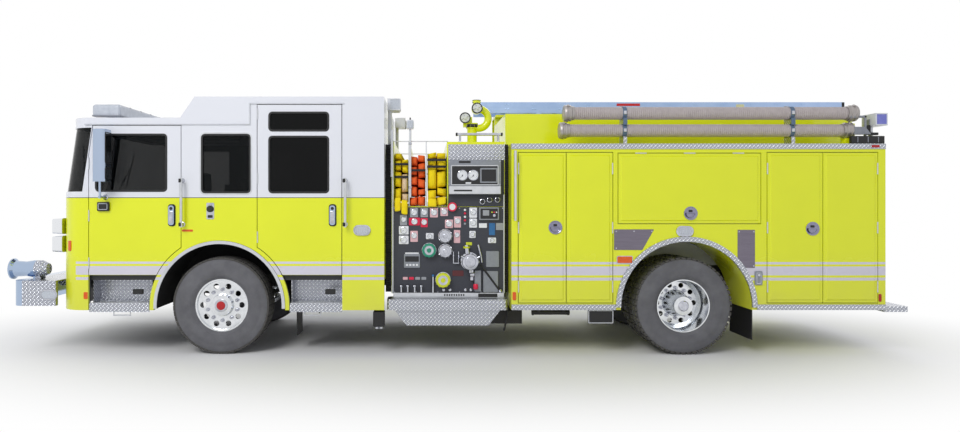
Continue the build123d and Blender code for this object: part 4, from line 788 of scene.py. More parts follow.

# Bumper end and siren: an oval lamp on the return, a chromed bell whose bore is a black disc behind stator fins,
# painted shade for the hollow.
bm = bmesh.new()
for side in (-1, 1):
    plane = SIDE if side < 0 else Matrix.Scale(-1, 4, (0, 1, 0)) @ SIDE
    plate(bm, plane, (-4.505, 0.651), (0.186, 0.112), 0.054, 1.2285, 0.018, 0, 0.014, 0.003)
    plate(bm, plane, (-4.505, 0.651), (0.156, 0.082), 0.04, 1.2262, 0.003, 1)
siren = (-5.073, -0.900, 0.901)
# Black disc in the bell's mouth: painted shade standing for the deep bore
turned(bm, [(0.084, 0.0015), (0.080, 0.006), (0.074, 0.030), (0.0, 0.032)], siren, (1, 0, 0), 2, 40)
for index in range(12):
    angle = math.tau * index / 12
    spin = Matrix.Rotation(angle, 3, "X")
    slab(bm, (-5.068, -0.903, 0.925), (-5.045, -0.897, 0.980), 0, 0.001, 1, spin, siren)
turned(bm, [(0.026, 0.002), (0.024, 0.0005), (0.0, 0.0005)], siren, (1, 0, 0), 0, 24)
slab(bm, (-4.80, -0.955, 0.800), (-4.74, -0.845, 0.812), 0, 0.002)
for x in (-4.785, -4.755):
    for y in (-0.945, -0.855):
        rod(bm, (x, y, 0.812), (x, y, 0.820), 0.008, 0, 6)
for side in (-1, 1):
    for z in (0.60, 0.70):
        rod(bm, (-4.873, side * 0.46, z), (-4.879, side * 0.46, z), 0.012, 0, 6)
finish_piece("bumper_fittings", bm, (chrome, clear_lens, black_rubber), "vehicle")

# Lightbar: clear outer shells over coloured reflectors, clamped at each seam to a grey rail on two feet.
rail_grey, tree, shader = surface("grey powder-coated rail", 0.4)
mottled(tree, shader, "#7C8088", "#969AA2", 0.04, (0.35, 0.5), 0.0005)
bm = bmesh.new()
slab(bm, (-4.197, -0.896, 2.607), (-3.880, 0.896, 2.625), 0, 0.006, 2)
for step in range(-2, 3):
    y = step * 0.3
    for x in (-4.190, -3.886):
        slab(bm, (x - 0.0035, y - 0.004, 2.640), (x + 0.0035, y + 0.004, 2.735), 0, 0.001)
    slab(bm, (-4.190, y - 0.004, 2.7375), (-3.887, y + 0.004, 2.7435), 0, 0.001)
finish_piece("lightbar_rail", bm, (rail_grey,), "vehicle")

# Seats: moulded foam under grained vinyl, each a cushion and a back with a bolster, welted round its edge.
seat_vinyl, tree, shader = surface("welted seat vinyl", 0.6)
mottled(tree, shader, "#1F2023", "#34353A", 0.012, (0.5, 0.7), 0.0012)
seat_rows = ((-3.573, 0.80, 1.240, 1), (-2.523, 0.80, 1.330, -1), (-1.503, 0.70, 1.240, 1))
for index, (front, y, top, facing) in enumerate(seat_rows):
    for side, word in left_and_right:
        for part, low, high in (
            ("cushion", (0.0, -0.115), (0.425, 0.012)),
            ("back", (0.425, 0.005), (0.545, 0.648)),
        ):
            bm = bmesh.new()
            x = sorted((front + facing * (low[0] - 0.006), front + facing * (high[0] + 0.006)))
            slab(bm, (x[0], -y - 0.242, top + low[1]), (x[1], -y + 0.242, top + high[1]))
            bmesh.ops.subdivide_edges(bm, edges=bm.edges[:], cuts=7, use_grid_fill=True)
            middle = Vector(((x[0] + x[1]) / 2, -y, top + (low[1] + high[1]) / 2))
            half = Vector(((x[1] - x[0]) / 2, 0.242, (high[1] - low[1]) / 2))
            for vert in bm.verts:
                # Crowned between its edges: the nearer to an edge, the further the skin is drawn in
                away = vert.co - middle
                share = [min(abs(away[axis]) / half[axis], 1.0) for axis in range(3)]
                for axis in range(3):
                    others = [share[other] for other in range(3) if other != axis]
                    pull = 0.030 * (max(others) ** 6)
                    if share[axis] > 0.99:
                        vert.co[axis] -= math.copysign(pull, away[axis])
            piece = finish_piece(f"seat_{index}_{part}_{word}", bm, (seat_vinyl,), "vehicle", side)

# Operator's panel: black-crackled plate in a bright frame. Each valve has a small gauge in an enamelled,
# colour-coded bezel above its pull; capped inlets and outlets, a pressure governor and a foam gauge sit among them.


def enamel(name, low, high):
    """Screen-printed enamel on a metal plate: even, a little glossy, with a faint cloudiness."""
    material, tree, shader = surface(name, 0.35)
    mottled(tree, shader, low, high, 0.02, (0.28, 0.45), 0.0002)
    return material


def dial_marks(bm, centre, inner, outer, first, step, count, thickness):
    """Printed marks round a dial on the left side, from the first angle on in degrees."""
    for mark in range(count):
        angle = math.radians(first + mark * step)
        ends = [(centre[0] + math.sin(angle) * reach, centre[1], centre[2] + math.cos(angle) * reach)
                for reach in (inner, outer)]
        rod(bm, *ends, *thickness)


panel_y = 1.020
valve_pulls = (
    (-0.377, 0.647, 0.836), (-0.725, 0.655, 0.721), (-0.654, 0.655, 0.721), (-0.578, 0.655, 0.721),
    (-0.506, 0.655, 0.721),
)
small_dials = ((0.167, 1.651), (0.246, 1.672), (0.333, 1.672))
bezels = (
    enamel("grey enamel", "#8C8F96", "#A9ACB2"), enamel("rose enamel", "#D9A8B0", "#EBC2C6"),
    enamel("red enamel", "#D0103A", "#E8204C"), enamel("white enamel", "#E2E4EA", "#F2F3F6"),
    enamel("blue enamel", "#205A93", "#2F74AE"), enamel("lime enamel", "#C4CC1E", "#D8E030"),
    enamel("dark red enamel", "#4A1218", "#5E1A20"),
)
dial_white = enamel("white dial face", "#DDE0E4", "#F0F2F5")
dial_black = enamel("black print", "#0C0D10", "#191A1E")
gauge_bezels = (
    (-0.586, 1.530, 0.088, 0.100, 0), (-0.473, 1.530, 0.082, 0.100, 0), (-0.702, 1.448, 0.077, 0.112, 0),
    (-0.366, 1.530, 0.088, 0.105, 1), (-0.253, 1.540, 0.083, 0.094, 1), (-0.581, 1.432, 0.121, 0.084, 2),
    (-0.474, 1.420, 0.078, 0.100, 2), (-0.699, 1.336, 0.106, 0.093, 3), (-0.699, 1.230, 0.106, 0.093, 3),
    (-0.585, 1.269, 0.082, 0.122, 1), (-0.412, 1.272, 0.084, 0.066, 3), (0.066, 1.530, 0.084, 0.112, 3),
    (0.066, 1.415, 0.084, 0.100, 3), (0.059, 1.290, 0.068, 0.077, 3), (0.274, 1.225, 0.088, 0.060, 3),
    (-0.200, 1.407, 0.088, 0.093, 1), (-0.107, 1.427, 0.077, 0.122, 1), (-0.112, 1.267, 0.070, 0.143, 1),
)
bm = bmesh.new()
for x, z, w, h, finish in gauge_bezels:
    plate(bm, SIDE, (x, z), (w, h), 0.008, panel_y + 0.005, 0.005, finish, None, 0.001)
    dial = 0.40 * min(w, h)
    front = (x, -panel_y - 0.005, z + (h - min(w, h)) * 0.25)
    turned(bm, [(dial, 0.0), (dial, 0.009), (dial * 0.88, 0.011), (dial * 0.86, 0.006)], front, (0, -1, 0), 7, 20)
    turned(bm, [(dial * 0.87, 0.006), (0.0, 0.006)], front, (0, -1, 0), 8, 20)
    dial_marks(bm, (x, front[1] - 0.0066, front[2]), dial * 0.62, dial * 0.80, -130, 32.5, 9, (0.0009, 9, 4))
    rod(bm, (front[0], front[1] - 0.007, front[2]),
        (front[0] - dial * 0.5, front[1] - 0.007, front[2] - dial * 0.35), 0.0013, 9, 5, 0.0006)
for x, z, w, h, finish in (
    (0.357, 1.377, 0.078, 0.077, 0), (0.274, 1.349, 0.066, 0.132, 4), (0.020, 1.187, 0.066, 0.034, 5),
    (-0.101, 0.862, 0.122, 0.061, 6), (-0.608, 1.066, 0.150, 0.050, 3), (0.174, 1.388, 0.088, 0.050, 3),
    (-0.682, 0.806, 0.052, 0.030, 1), (-0.614, 0.806, 0.052, 0.030, 2), (-0.546, 0.806, 0.052, 0.030, 0),
    (-0.478, 0.806, 0.052, 0.030, 0),
):
    plate(bm, SIDE, (x, z), (w, h), 0.006, panel_y + 0.005, 0.005, finish, None, 0.001)
# Foam gauge window and its row of keys on the cast plate below; a strip of indicator lamps by the governor
plate(bm, SIDE, (-0.608, 1.020), (0.150, 0.060), 0.006, panel_y + 0.0165, 0.004, 9, None, 0.001)
for index in range(4):
    plate(bm, SIDE, (-0.662 + index * 0.036, 0.955), (0.024, 0.020), 0.004, panel_y + 0.018, 0.005, 3, None, 0.001)
for index in range(5):
    turned(bm, [(0.013, 0.0), (0.013, 0.006), (0.009, 0.010), (0.0, 0.011)],
           (-0.024, -panel_y, 1.560 - index * 0.038), (0, -1, 0), (3, 2, 3, 2, 0)[index], 14)
plate(bm, SIDE, (0.240, 1.519), (0.190, 0.112), 0.008, panel_y + 0.032, 0.003, 9, None, 0.0008)
plate(bm, SIDE, (0.205, 1.528), (0.070, 0.060), 0.004, panel_y + 0.0335, 0.003, 0, None, 0.0005)
for index in range(3):
    turned(bm, [(0.008, 0.0), (0.008, 0.005), (0.0, 0.006)], (0.270 + index * 0.025, -panel_y - 0.0315, 1.535),
           (0, -1, 0), (5, 2, 3)[index], 12)
turned(bm, [(0.017, 0.0), (0.015, 0.018), (0.0, 0.019)], (0.295, -panel_y - 0.0315, 1.500), (0, -1, 0), 7, 20)
for x, z in small_dials:
    turned(bm, [(0.030, -0.002), (0.030, 0.003), (0.025, 0.005), (0.024, 0.001), (0.0, 0.001)],
           (x, -panel_y - 0.018, z), (0, -1, 0), 7, 24)
    turned(bm, [(0.023, 0.002), (0.0, 0.002)], (x, -panel_y - 0.018, z), (0, -1, 0), 9, 24)
# Red ring round a white dial at the panel's head
turned(bm, [(0.050, 0.0), (0.050, 0.016), (0.035, 0.018), (0.034, 0.014)], (-0.165, -panel_y - 0.024, 1.594),
       (0, -1, 0), 2, 28)
turned(bm, [(0.035, 0.0145), (0.0, 0.0145)], (-0.165, -panel_y - 0.024, 1.594), (0, -1, 0), 8, 28)
# Each pull: a chromed tee on a stub, with its enamelled tag
for x, low, high in valve_pulls:
    plate(bm, SIDE, (x, (low + high) / 2), (0.034, high - low + 0.030), 0.006, panel_y + 0.003, 0.003, 9)
    turned(bm, [(0.012, -0.012), (0.0135, 0.0), (0.012, 0.012)], (x, -1.069, high + 0.004), (1, 0, 0),
           4 if x > -0.4 else 7, 14)
# Brass-bodied drains along the foot of the panel
for x in (-0.26, -0.19, -0.02, 0.04):
    turned(bm, [(0.016, 0.0), (0.016, 0.018), (0.010, 0.022), (0.010, 0.034), (0.0, 0.035)],
           (x, -panel_y, 0.680), (0, -1, 0), 7, 12)
for index in range(6):
    for z in (0.654, 1.580):
        rod(bm, (-0.80 + index * 0.238, -panel_y, z), (-0.80 + index * 0.238, -panel_y - 0.004, z), 0.006, 7, 6)
finish_piece("pump_panel_gauges", bm, bezels + (chrome, dial_white, dial_black), "vehicle")

# Intake at the panel's heart: a gated elbow with its handwheel, strainer lugs, relief pipe and drain hose.
black_hose, tree, shader = surface("moulded black drain hose")
mottled(tree, shader, "#17181A", "#26272A", 0.01, (0.5, 0.7), 0.0006)
bm = bmesh.new()
hub = (0.027, -1.140, 0.997)
for near, far in zip(around(3, 0.080, 0.24, (hub[0], hub[2])), around(3, 0.118, 0.24, (hub[0], hub[2]))):
    rod(bm, (near[0], hub[1] + 0.005, near[1]), (far[0], hub[1] + 0.005, far[1]), 0.010, 0, 12, 0.013)
turned(bm, [(0.088, 0.0), (0.090, 0.012), (0.084, 0.024), (0.060, 0.030), (0.057, 0.024), (0.050, 0.027),
            (0.0, 0.029)], hub, (0, -1, 0), 0, 40)
rod(bm, (0.000, -1.055, 1.080), (-0.010, -1.055, 1.175), 0.030, 0, 18, 0.024)
turned(bm, [(0.036, -0.010), (0.038, 0.0), (0.036, 0.010)], (-0.008, -1.055, 1.150), (0, 0, 1), 1, 20)
rod(bm, (0.052, -1.045, 0.900), (0.050, -1.045, 0.790), 0.026, 0, 18)
rod(bm, (0.030, -1.050, 0.850), (0.075, -1.050, 0.850), 0.032, 0, 18)
turned(bm, [(0.020, -0.03), (0.026, -0.02), (0.026, 0.02), (0.020, 0.03)], (0.089, -1.092, 0.724), (0, 0, 1), 3, 16)
rod(bm, (0.141, -1.062, 0.964), (0.362, -1.040, 0.666), 0.011, 2, 12)
rod(bm, (0.118, -1.060, 1.180), (0.150, -1.050, 1.050), 0.012, 0, 12)
rod(bm, (0.150, -1.050, 1.050), (0.160, -1.040, 0.985), 0.012, 0, 12)
turned(bm, [(0.020, -0.016), (0.023, 0.0), (0.020, 0.016)], (0.362, -1.040, 0.670), (0.6, 0, -0.8), 0, 14)
# A chromed loop handle on the panel between the caps and the intake
for x in (-0.152, -0.096):
    rod(bm, (x, -1.022, 1.095), (x, -1.050, 1.095), 0.007, 0, 10)
    rod(bm, (x, -1.050, 1.098), (x, -1.050, 0.975), 0.007, 0, 10)
rod(bm, (-0.155, -1.050, 0.975), (-0.093, -1.050, 0.975), 0.007, 0, 10)
finish_piece("pump_intake", bm, (chrome, bezels[5], black_hose, bezels[2]), "vehicle")

# Caps: knurled rims over the turned ends; green anodising marks the supply and lime enamel the drain. Each outlet
# is its place, its radius and its reach from the panel, the uncapped intake first.
pump_outlets = (
    (0.027, 0.997, 0.084, 0.120), (-0.243, 1.274, 0.062, 0.070), (-0.243, 1.111, 0.062, 0.070),
    (-0.420, 1.118, 0.066, 0.074), (-0.267, 0.793, 0.070, 0.090),
)
bm = bmesh.new()
for (x, z, r, reach), finish in zip(pump_outlets[1:], (0, 0, 1, 2)):
    front = (x, -panel_y - reach, z)
    turned(bm, [(r + 0.006, -0.026), (r + 0.010, -0.020), (r + 0.010, -0.008), (r + 0.004, 0.0), (r * 0.78, 0.003),
                (r * 0.74, -0.002), (r * 0.40, -0.002), (r * 0.34, 0.008), (0.0, 0.009)], front, (0, -1, 0),
           finish, 32)
    for near, far in zip(around(12, r + 0.008, 0.0, (x, z)), around(12, r + 0.014, 0.0, (x, z))):
        rod(bm, (near[0], front[1] + 0.014, near[1]), (far[0], front[1] + 0.014, far[1]), 0.007, finish, 8)
finish_piece("pump_caps", bm, (chrome, enamel("green anodised cap", "#12785C", "#2A9C7C"), bezels[5]), "vehicle")

# Gauge housing: formed plate with a tread-plate cheek, a deep black recess, two large white dials and a screen.
bm = bmesh.new()
plate(bm, SIDE, (0.0795, 1.966), (0.573, 0.286), 0.004, 1.0809, 0.0008, 3)
plate(bm, SIDE, (0.080, 1.940), (0.500, 0.200), 0.006, 1.0818, 0.0010, 2)
plate(bm, SIDE, (0.080, 1.940), (0.520, 0.220), 0.012, 1.0890, 0.0085, 4, 0.010, 0.001)
for x in (-0.055, 0.064):
    turned(bm, [(0.058, -0.012), (0.058, 0.004), (0.052, 0.007), (0.050, 0.001)], (x, -1.082, 1.940), (0, -1, 0),
           0, 32)
    turned(bm, [(0.051, 0.002), (0.0, 0.002)], (x, -1.082, 1.940), (0, -1, 0), 1, 32)
    dial_marks(bm, (x, -1.0848, 1.940), 0.036, 0.045, -135, 22.5, 13, (0.0011, 2, 4))
    rod(bm, (x + 0.006, -1.0856, 1.934), (x - 0.026, -1.0856, 1.914), 0.0022, 2, 6, 0.0008)
    turned(bm, [(0.006, 0.0), (0.005, 0.003), (0.0, 0.004)], (x, -1.0848, 1.940), (0, -1, 0), 2, 12)
plate(bm, SIDE, (0.233, 1.937), (0.191, 0.164), 0.012, 1.0945, 0.014, 3, 0.016, 0.002)
plate(bm, SIDE, (0.233, 1.937), (0.165, 0.138), 0.004, 1.0865, 0.004, 2, None, 0.001)
plate(bm, SIDE, (-0.030, 2.085), (0.130, 0.024), 0.006, 1.0825, 0.003, 2)
plate(bm, SIDE, (0.010, 1.855), (0.060, 0.016), 0.004, 1.0845, 0.003, 1)
plate(bm, SIDE, (0.079, 1.777), (0.561, 0.080), 0.006, 1.1125, 0.003, 4, None, 0.001)
plate(bm, SIDE, (-0.05, 1.772), (0.20, 0.018), 0.006, 1.1145, 0.002, 2)
for x in (-0.200, 0.355):
    for z in (1.84, 1.97, 2.09):
        rod(bm, (x, -1.080, z), (x, -1.0845, z), 0.006, 0, 6)
finish_piece("gauge_housing_face", bm, (chrome, dial_white, dial_black, rail_grey, bright_frame), "vehicle")

# Inlets and outlets of the pump, on both sides: a cast flange, a turned neck and a capped end with two lugs.
# The governor, foam and drain covers are cast boxes, and the valve pulls are bars on stubs below the panel.
cover_boxes = (
    (0.240, 1.519, 0.220, 0.140, 0.030), (-0.608, 0.999, 0.176, 0.153, 0.014), (0.114, 0.782, 0.070, 0.230, 0.060),
    (0.257, 0.771, 0.165, 0.232, 0.024), (0.279, 1.019, 0.143, 0.176, 0.016),
)
bm = bmesh.new()
for x, z, r, reach in pump_outlets:
    turned(bm, [(r + 0.014, 0.0), (r + 0.014, 0.010), (r * 0.82, 0.014), (r * 0.80, reach - 0.034),
                (r, reach - 0.034), (r, reach - 0.006), (r - 0.006, reach), (0.0, reach)],
           (x, -panel_y, z), (0, -1, 0), 0, 36)
    slab(bm, (x - r - 0.016, -panel_y - reach + 0.008, z - 0.011),
         (x + r + 0.016, -panel_y - reach + 0.028, z + 0.011), 0, 0.004)
    for bolt_x, bolt_z in around(8, r + 0.006, 0.5, (x, z)):
        rod(bm, (bolt_x, -panel_y - 0.008, bolt_z), (bolt_x, -panel_y - 0.016, bolt_z), 0.005, 0, 6)
for x, z, w, h, reach in cover_boxes:
    plate(bm, SIDE, (x, z), (w, h), 0.010, panel_y + reach, reach, 1, None, 0.003)
for x, low, high in valve_pulls:
    slab(bm, (x - 0.009, -panel_y - 0.056, low), (x + 0.009, -panel_y - 0.042, high), 0, 0.003)
    slab(bm, (x - 0.006, -panel_y - 0.046, high - 0.020), (x + 0.006, -panel_y, high - 0.008), 0, 0.001)
outlets = finish_piece("pump_inlets_and_outlets", bm, (chrome, rail_grey), "vehicle", -1, True)
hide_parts("pump_fittings")
bm = bmesh.new()
turned(bm, [(0.046, 0.0), (0.046, 0.020), (0.042, 0.024), (0.0, 0.024)], (-0.165, -panel_y, 1.594), (0, -1, 0), 0, 28)
for x, z in small_dials:
    turned(bm, [(0.028, 0.0), (0.028, 0.018), (0.0, 0.018)], (x, -panel_y, z), (0, -1, 0), 0, 24)
slab(bm, (-0.205, -1.112, 1.732), (0.364, -1.080, 1.822), 1, 0.004)
finish_piece("gauge_bodies_and_shelf", bm, (chrome, bright_frame), "vehicle")

# Hinges: three bright stainless knuckles each, at every locker and cab door, in rows of three hinges. A white
# drip rail is bonded round the cab's eaves.
knuckle_pitch = 0.041
hinge_places = (
    (-4.073, 1.220, (0.990, 1.500, 2.060)), (-2.263, 1.220, (1.270, 1.900, 2.590)),
    (0.535, 1.270, (0.743, 1.373, 2.003)), (1.537, 1.270, (0.743, 1.373, 2.003)),
    (3.190, 1.270, (0.743, 1.373, 2.003)), (4.364, 1.270, (0.743, 1.373, 2.003)),
)
for side, word in left_and_right:
    bm = bmesh.new()
    for knuckle in range(3):
        start, end = knuckle * knuckle_pitch - 0.060, knuckle * knuckle_pitch - 0.021
        for x, y, heights in hinge_places:
            for z in heights:
                rod(bm, (x, -y - 0.002, z + start), (x, -y - 0.002, z + end), 0.007, 0, 12)
        for x in (1.838, 2.358, 2.878):
            rod(bm, (x + start, -1.272, 2.168), (x + end, -1.272, 2.168), 0.007, 0, 12)
    finish_piece(f"door_hinges_{word}", bm, (bright_frame,), "vehicle", side)
bm = bmesh.new()
slab(bm, (-4.120, -1.2345, 2.476), (-2.355, -1.2200, 2.489), 0, 0.003)
slab(bm, (-2.355, -1.2345, 2.476), (-2.341, -1.2200, 2.712), 0, 0.003)
slab(bm, (-2.341, -1.2345, 2.699), (-1.330, -1.2200, 2.712), 0, 0.003)
finish_piece("drip_rails", bm, (white_gloss,), "vehicle", -1, True)

# Body fittings: brushed stainless guards, their dark purple-grey a painted reflection, oval warning lamps over the
# wheel, markers, a covered outlet.
stainless, tree, shader = surface("brushed stainless plate darkened as painted reflection", 0.28, 1.0)
place = add_node(tree, "ShaderNodeTexCoord").outputs["Object"]
combed = add_node(tree, "ShaderNodeMapping", {0: place, 3: (6, 6, 900)})
strokes = add_node(tree, "ShaderNodeTexNoise", {"Vector": combed, "Scale": 1.0, "Detail": 2.0})
# Dark purple-grey on the stainless: a painted reflection of the surroundings, combed by the brush strokes
tree.links.new(laid_over(tree, strokes.outputs[0], shade("#5A5560"), shade("#8B8592")), shader.inputs["Base Color"])
spread = add_node(tree, "ShaderNodeMapRange", {0: strokes, 3: 0.20, 4: 0.42})
tree.links.new(spread.outputs[0], shader.inputs["Roughness"])
# The latch dishes' dark violet-grey is a painted reflection in their chrome
latch_chrome_painted_reflection, tree, shader = surface("chromed latch dish darkened as painted reflection", 0.1, 1.0)
mottled(tree, shader, "#6A6880", "#A3A3B8", 0.03, (0.06, 0.18), 0.0004)
leaf_bodies = (("front_leaf_a", 0.924, 1.376), ("rear_leaf_a", 3.662, 1.363), ("lift_door_middle", 2.364, 1.527))
for side, word in left_and_right:
    bm = bmesh.new()
    # Guard in front of the wheel arch, its lower corner cut back by the arch, and a short one behind it
    before = set(bm.faces)
    plate(bm, SIDE, (1.765, 1.245), (0.424, 0.220), 0.004, 1.2735, 0.0035, 0, None, 0.001)
    verts = list({v for f in set(bm.faces) - before for v in f.verts})
    for vert in verts:
        if vert.co.x > 1.80 and vert.co.z < 1.20:
            vert.co.x -= 0.120
    plate(bm, SIDE, (2.9635, 1.147), (0.185, 0.406), 0.004, 1.2735, 0.0035, 0, None, 0.001)
    for x, z in ((1.575, 1.335), (1.765, 1.335), (1.955, 1.335), (1.575, 1.155), (2.885, 1.33), (3.042, 1.33),
                 (2.885, 0.965), (3.042, 0.965)):
        rod(bm, (x, -1.273, z), (x, -1.2765, z), 0.007, 1, 10)
    oval_lamp(bm, (2.306, 1.336), 1.288, (0.156, 0.084), 1.2862, 0.015, 1, 2)
    plate(bm, SIDE, (1.6665, 1.0315), (0.157, 0.069), 0.012, 1.282, 0.012, 3, None, 0.003)
    plate(bm, SIDE, (1.6665, 1.0315), (0.171, 0.083), 0.016, 1.276, 0.006, 1, 0.007)
    plate(bm, SIDE, (0.4885, 0.6435), (0.037, 0.085), 0.010, 1.280, 0.010, 3, None, 0.002)
    plate(bm, SIDE, (4.3900, 0.6245), (0.030, 0.081), 0.010, 1.277, 0.007, 4, None, 0.002)
    plate(bm, SIDE, (4.3385, 2.2415), (0.085, 0.027), 0.008, 1.284, 0.010, 4, None, 0.002)
    plate(bm, SIDE, (3.092, 0.836), (0.080, 0.149), 0.012, 1.284, 0.014, 5, None, 0.003)
    plate(bm, SIDE, (3.092, 0.836), (0.050, 0.118), 0.010, 1.287, 0.004, 1, 0.006)
    turned(bm, [(0.014, 0.0), (0.014, 0.008), (0.0, 0.010)], (3.092, -1.284, 0.870), (0, -1, 0), 1, 16)
    finish_piece(f"body_fittings_{word}", bm, (stainless, chrome, clear_lens, amber_lens, red_lens, rail_grey),
                 "vehicle", side)
    for leaf, x, z in leaf_bodies:
        bm = bmesh.new()
        turned(bm, [(0.073, 0.0), (0.073, 0.003), (0.067, 0.005), (0.062, 0.003), (0.058, 0.0008), (0.0, 0.0008)],
               (x, -1.288, z), (0, -1, 0), 0, 40)
        bail = around(32, 0.046, 16, (x, z))[:17]
        for start, end in zip(bail, bail[1:]):
            rod(bm, (start[0], -1.294, start[1]), (end[0], -1.294, end[1]), 0.0045, 0, 8)
        rod(bm, (x - 0.046, -1.294, z), (x + 0.046, -1.294, z), 0.0055, 0, 10)
        slab(bm, (x - 0.018, -1.297, z + 0.012), (x + 0.018, -1.289, z + 0.034), 1, 0.002)
        finish_piece(f"{leaf}_latch_{word}", bm, (latch_chrome_painted_reflection, black_rubber), f"{leaf}_{word}", side)
# Bright rings round the cab's arches, in polished rolled section
for side, word in left_and_right:
    bm = bmesh.new()
    section = ((0.672, -1.214), (0.672, -1.228), (0.706, -1.228), (0.706, -1.2205))
    rows = []
    for index in range(41):
        angle = math.radians(-2 + 184 * index / 40)
        rows.append([bm.verts.new((front_axle_x + r * math.cos(angle), y, hub_z + r * math.sin(angle)))
                     for r, y in section])
    for one, two in zip(rows, rows[1:]):
        for a in range(len(section) - 1):
            bm.faces.new((one[a], one[a + 1], two[a + 1], two[a]))
    finish_piece(f"cab_arch_ring_{word}", bm, (bright_frame,), "vehicle", side)

# Tail: three lamps in chromed frames on each corner, two upright rods and two tow eyes. The rear door has a
# raised panel with a bar handle in a chromed plate.
bm = bmesh.new()
for z, finish in ((1.020, 1), (1.170, 2), (1.320, 3)):
    plate(bm, TAIL, (-1.110, z), (0.170, 0.120), 0.024, 4.474, 0.024, finish, None, 0.004)
    plate(bm, TAIL, (-1.110, z), (0.188, 0.138), 0.030, 4.464, 0.014, 0, 0.009, 0.002)
    for rib in range(5):
        plate(bm, TAIL, (-1.110, z - 0.040 + rib * 0.020), (0.130, 0.004), 0.001, 4.4755, 0.002, finish)
for z in (1.180, 2.020):
    rod(bm, (4.450, -0.730, z), (4.525, -0.730, z), 0.012, 0, 14)
    turned(bm, [(0.030, 0.0), (0.030, 0.005), (0.018, 0.010)], (4.450, -0.730, z), (1, 0, 0), 0, 20)
rod(bm, (4.525, -0.730, 1.150), (4.525, -0.730, 2.050), 0.017, 0, 18)
turned(bm, [(0.062, -0.010), (0.074, 0.0), (0.062, 0.010), (0.050, 0.0), (0.062, -0.010)], (4.470, -0.640, 0.610),
       (0, 1, 0), 0, 24)
finish_piece("tail_fittings", bm, (chrome, red_lens, amber_lens, clear_lens), "vehicle", -1, True)
bm = bmesh.new()
plate(bm, TAIL, (0.0, 1.230), (0.86, 0.84), 0.020, 4.460, 0.0105, 0, None, 0.004)
plate(bm, TAIL, (0.0, 0.900), (0.20, 0.11), 0.020, 4.4655, 0.006, 1, None, 0.002)
rod(bm, (4.472, -0.065, 0.900), (4.472, 0.065, 0.900), 0.008, 1, 12)
finish_piece("rear_door_panel", bm, (body_paint, chrome), "rear_door")

# Module trim: bright edge strips, bellows in the gaps to the cab and the body, the hand rail on the module's
# deck, a tread-plate cheek above the gauges, and a folded kick plate over the running board.
bellows_rubber, tree, shader = surface("pleated gap bellows")
mottled(tree, shader, "#0C0C0D", "#1C1C1F", 0.02, (0.55, 0.75), 0.0008)
bm = bmesh.new()
plate(bm, SIDE, (0.1045, 2.198), (0.625, 0.172), 0.004, 1.0035, 0.0035, 2)
finish_piece("module_cheek", bm, (chrome, white_gloss, tread_plate), "vehicle", -1, True)
for side, word in left_and_right:
    bm = bmesh.new()
    slab(bm, (-0.830, -1.028, 0.640), (-0.812, -1.000, 2.300), 1, 0.002)
    slab(bm, (0.398, -1.028, 0.640), (0.412, -1.018, 1.730), 0, 0.002)
    slab(bm, (-0.830, -1.012, 2.3135), (-0.212, -0.985, 2.322), 1, 0.002)
    for x in (-0.641, -0.451):
        slab(bm, (x - 0.006, -1.006, 1.602), (x + 0.006, -0.998, 2.312), 1, 0.001)
    slab(bm, (-0.812, -1.090, 0.6005), (0.405, -1.020, 0.606), 0, 0.002)
    slab(bm, (-0.812, -1.046, 0.606), (0.405, -1.0405, 0.650), 0, 0.002)
    slab(bm, (0.120, -1.060, 0.606), (0.330, -1.047, 0.640), 3, 0.003)
    for index in range(9):
        slab(bm, (-0.255 + index * 0.026, -1.052, 0.616), (-0.240 + index * 0.026, -1.046, 0.636), 3, 0.002)
    finish_piece(f"module_edges_{word}", bm, (bright_frame, white_gloss, tread_plate, black_rubber), "vehicle",
                 side)
    bm = bmesh.new()
    for index in range(66):
        z = 0.66 + index * 0.0245
        slab(bm, (-0.8995, -1.010, z), (-0.8375, -0.990, z + 0.015), 0, 0.006)
        slab(bm, (0.4195, -1.006, z), (0.4560, -0.986, z + 0.015), 0, 0.006)
    slab(bm, (-0.8995, -0.995, 0.655), (-0.8375, -0.975, 2.285), 0)
    slab(bm, (0.4195, -0.990, 0.655), (0.4560, -0.975, 2.285), 0)
    finish_piece(f"gap_bellows_{word}", bm, (bellows_rubber,), "vehicle", side)
bm = bmesh.new()
rod(bm, (-0.113, -0.950, 2.400), (0.388, -0.950, 2.400), 0.016, 0, 20)
for x in (-0.075, 0.350):
    rod(bm, (x, -0.950, 2.400), (x, -0.950, 2.313), 0.012, 0, 14)
    turned(bm, [(0.028, 0.0), (0.028, 0.004), (0.014, 0.010)], (x, -0.950, 2.3135), (0, 0, 1), 0, 18)
for x in (-0.113, 0.388):
    turned(bm, [(0.0, -0.012), (0.018, -0.010), (0.020, 0.0), (0.018, 0.010), (0.0, 0.012)], (x, -0.950, 2.400),
           (1, 0, 0), 1, 16)
# White hand rail up the module's front edge, on two brackets
rod(bm, (-0.826, -1.060, 1.922), (-0.826, -1.060, 2.439), 0.014, 2, 16)
for z in (1.950, 2.240):
    rod(bm, (-0.826, -1.060, z), (-0.826, -1.005, z), 0.010, 2, 12)
# Second lamp: a white pole clamped to the bay's edge, with a small swivel head
rod(bm, (-0.628, -1.018, 1.700), (-0.628, -1.018, 2.450), 0.013, 2, 14)
for z in (1.80, 2.28):
    slab(bm, (-0.646, -1.034, z), (-0.610, -0.998, z + 0.022), 0, 0.003)
slab(bm, (-0.668, -1.050, 2.452), (-0.588, -0.985, 2.552), 2, 0.010, 2)
plate(bm, SIDE, (-0.628, 2.502), (0.060, 0.078), 0.008, 1.0545, 0.005, 3, None, 0.002)
rod(bm, (-0.628, -1.018, 2.552), (-0.628, -1.018, 2.578), 0.008, 1, 10)
finish_piece("module_rails_and_pole_lamp", bm, (chrome, black_rubber, white_gloss, clear_lens), "vehicle")

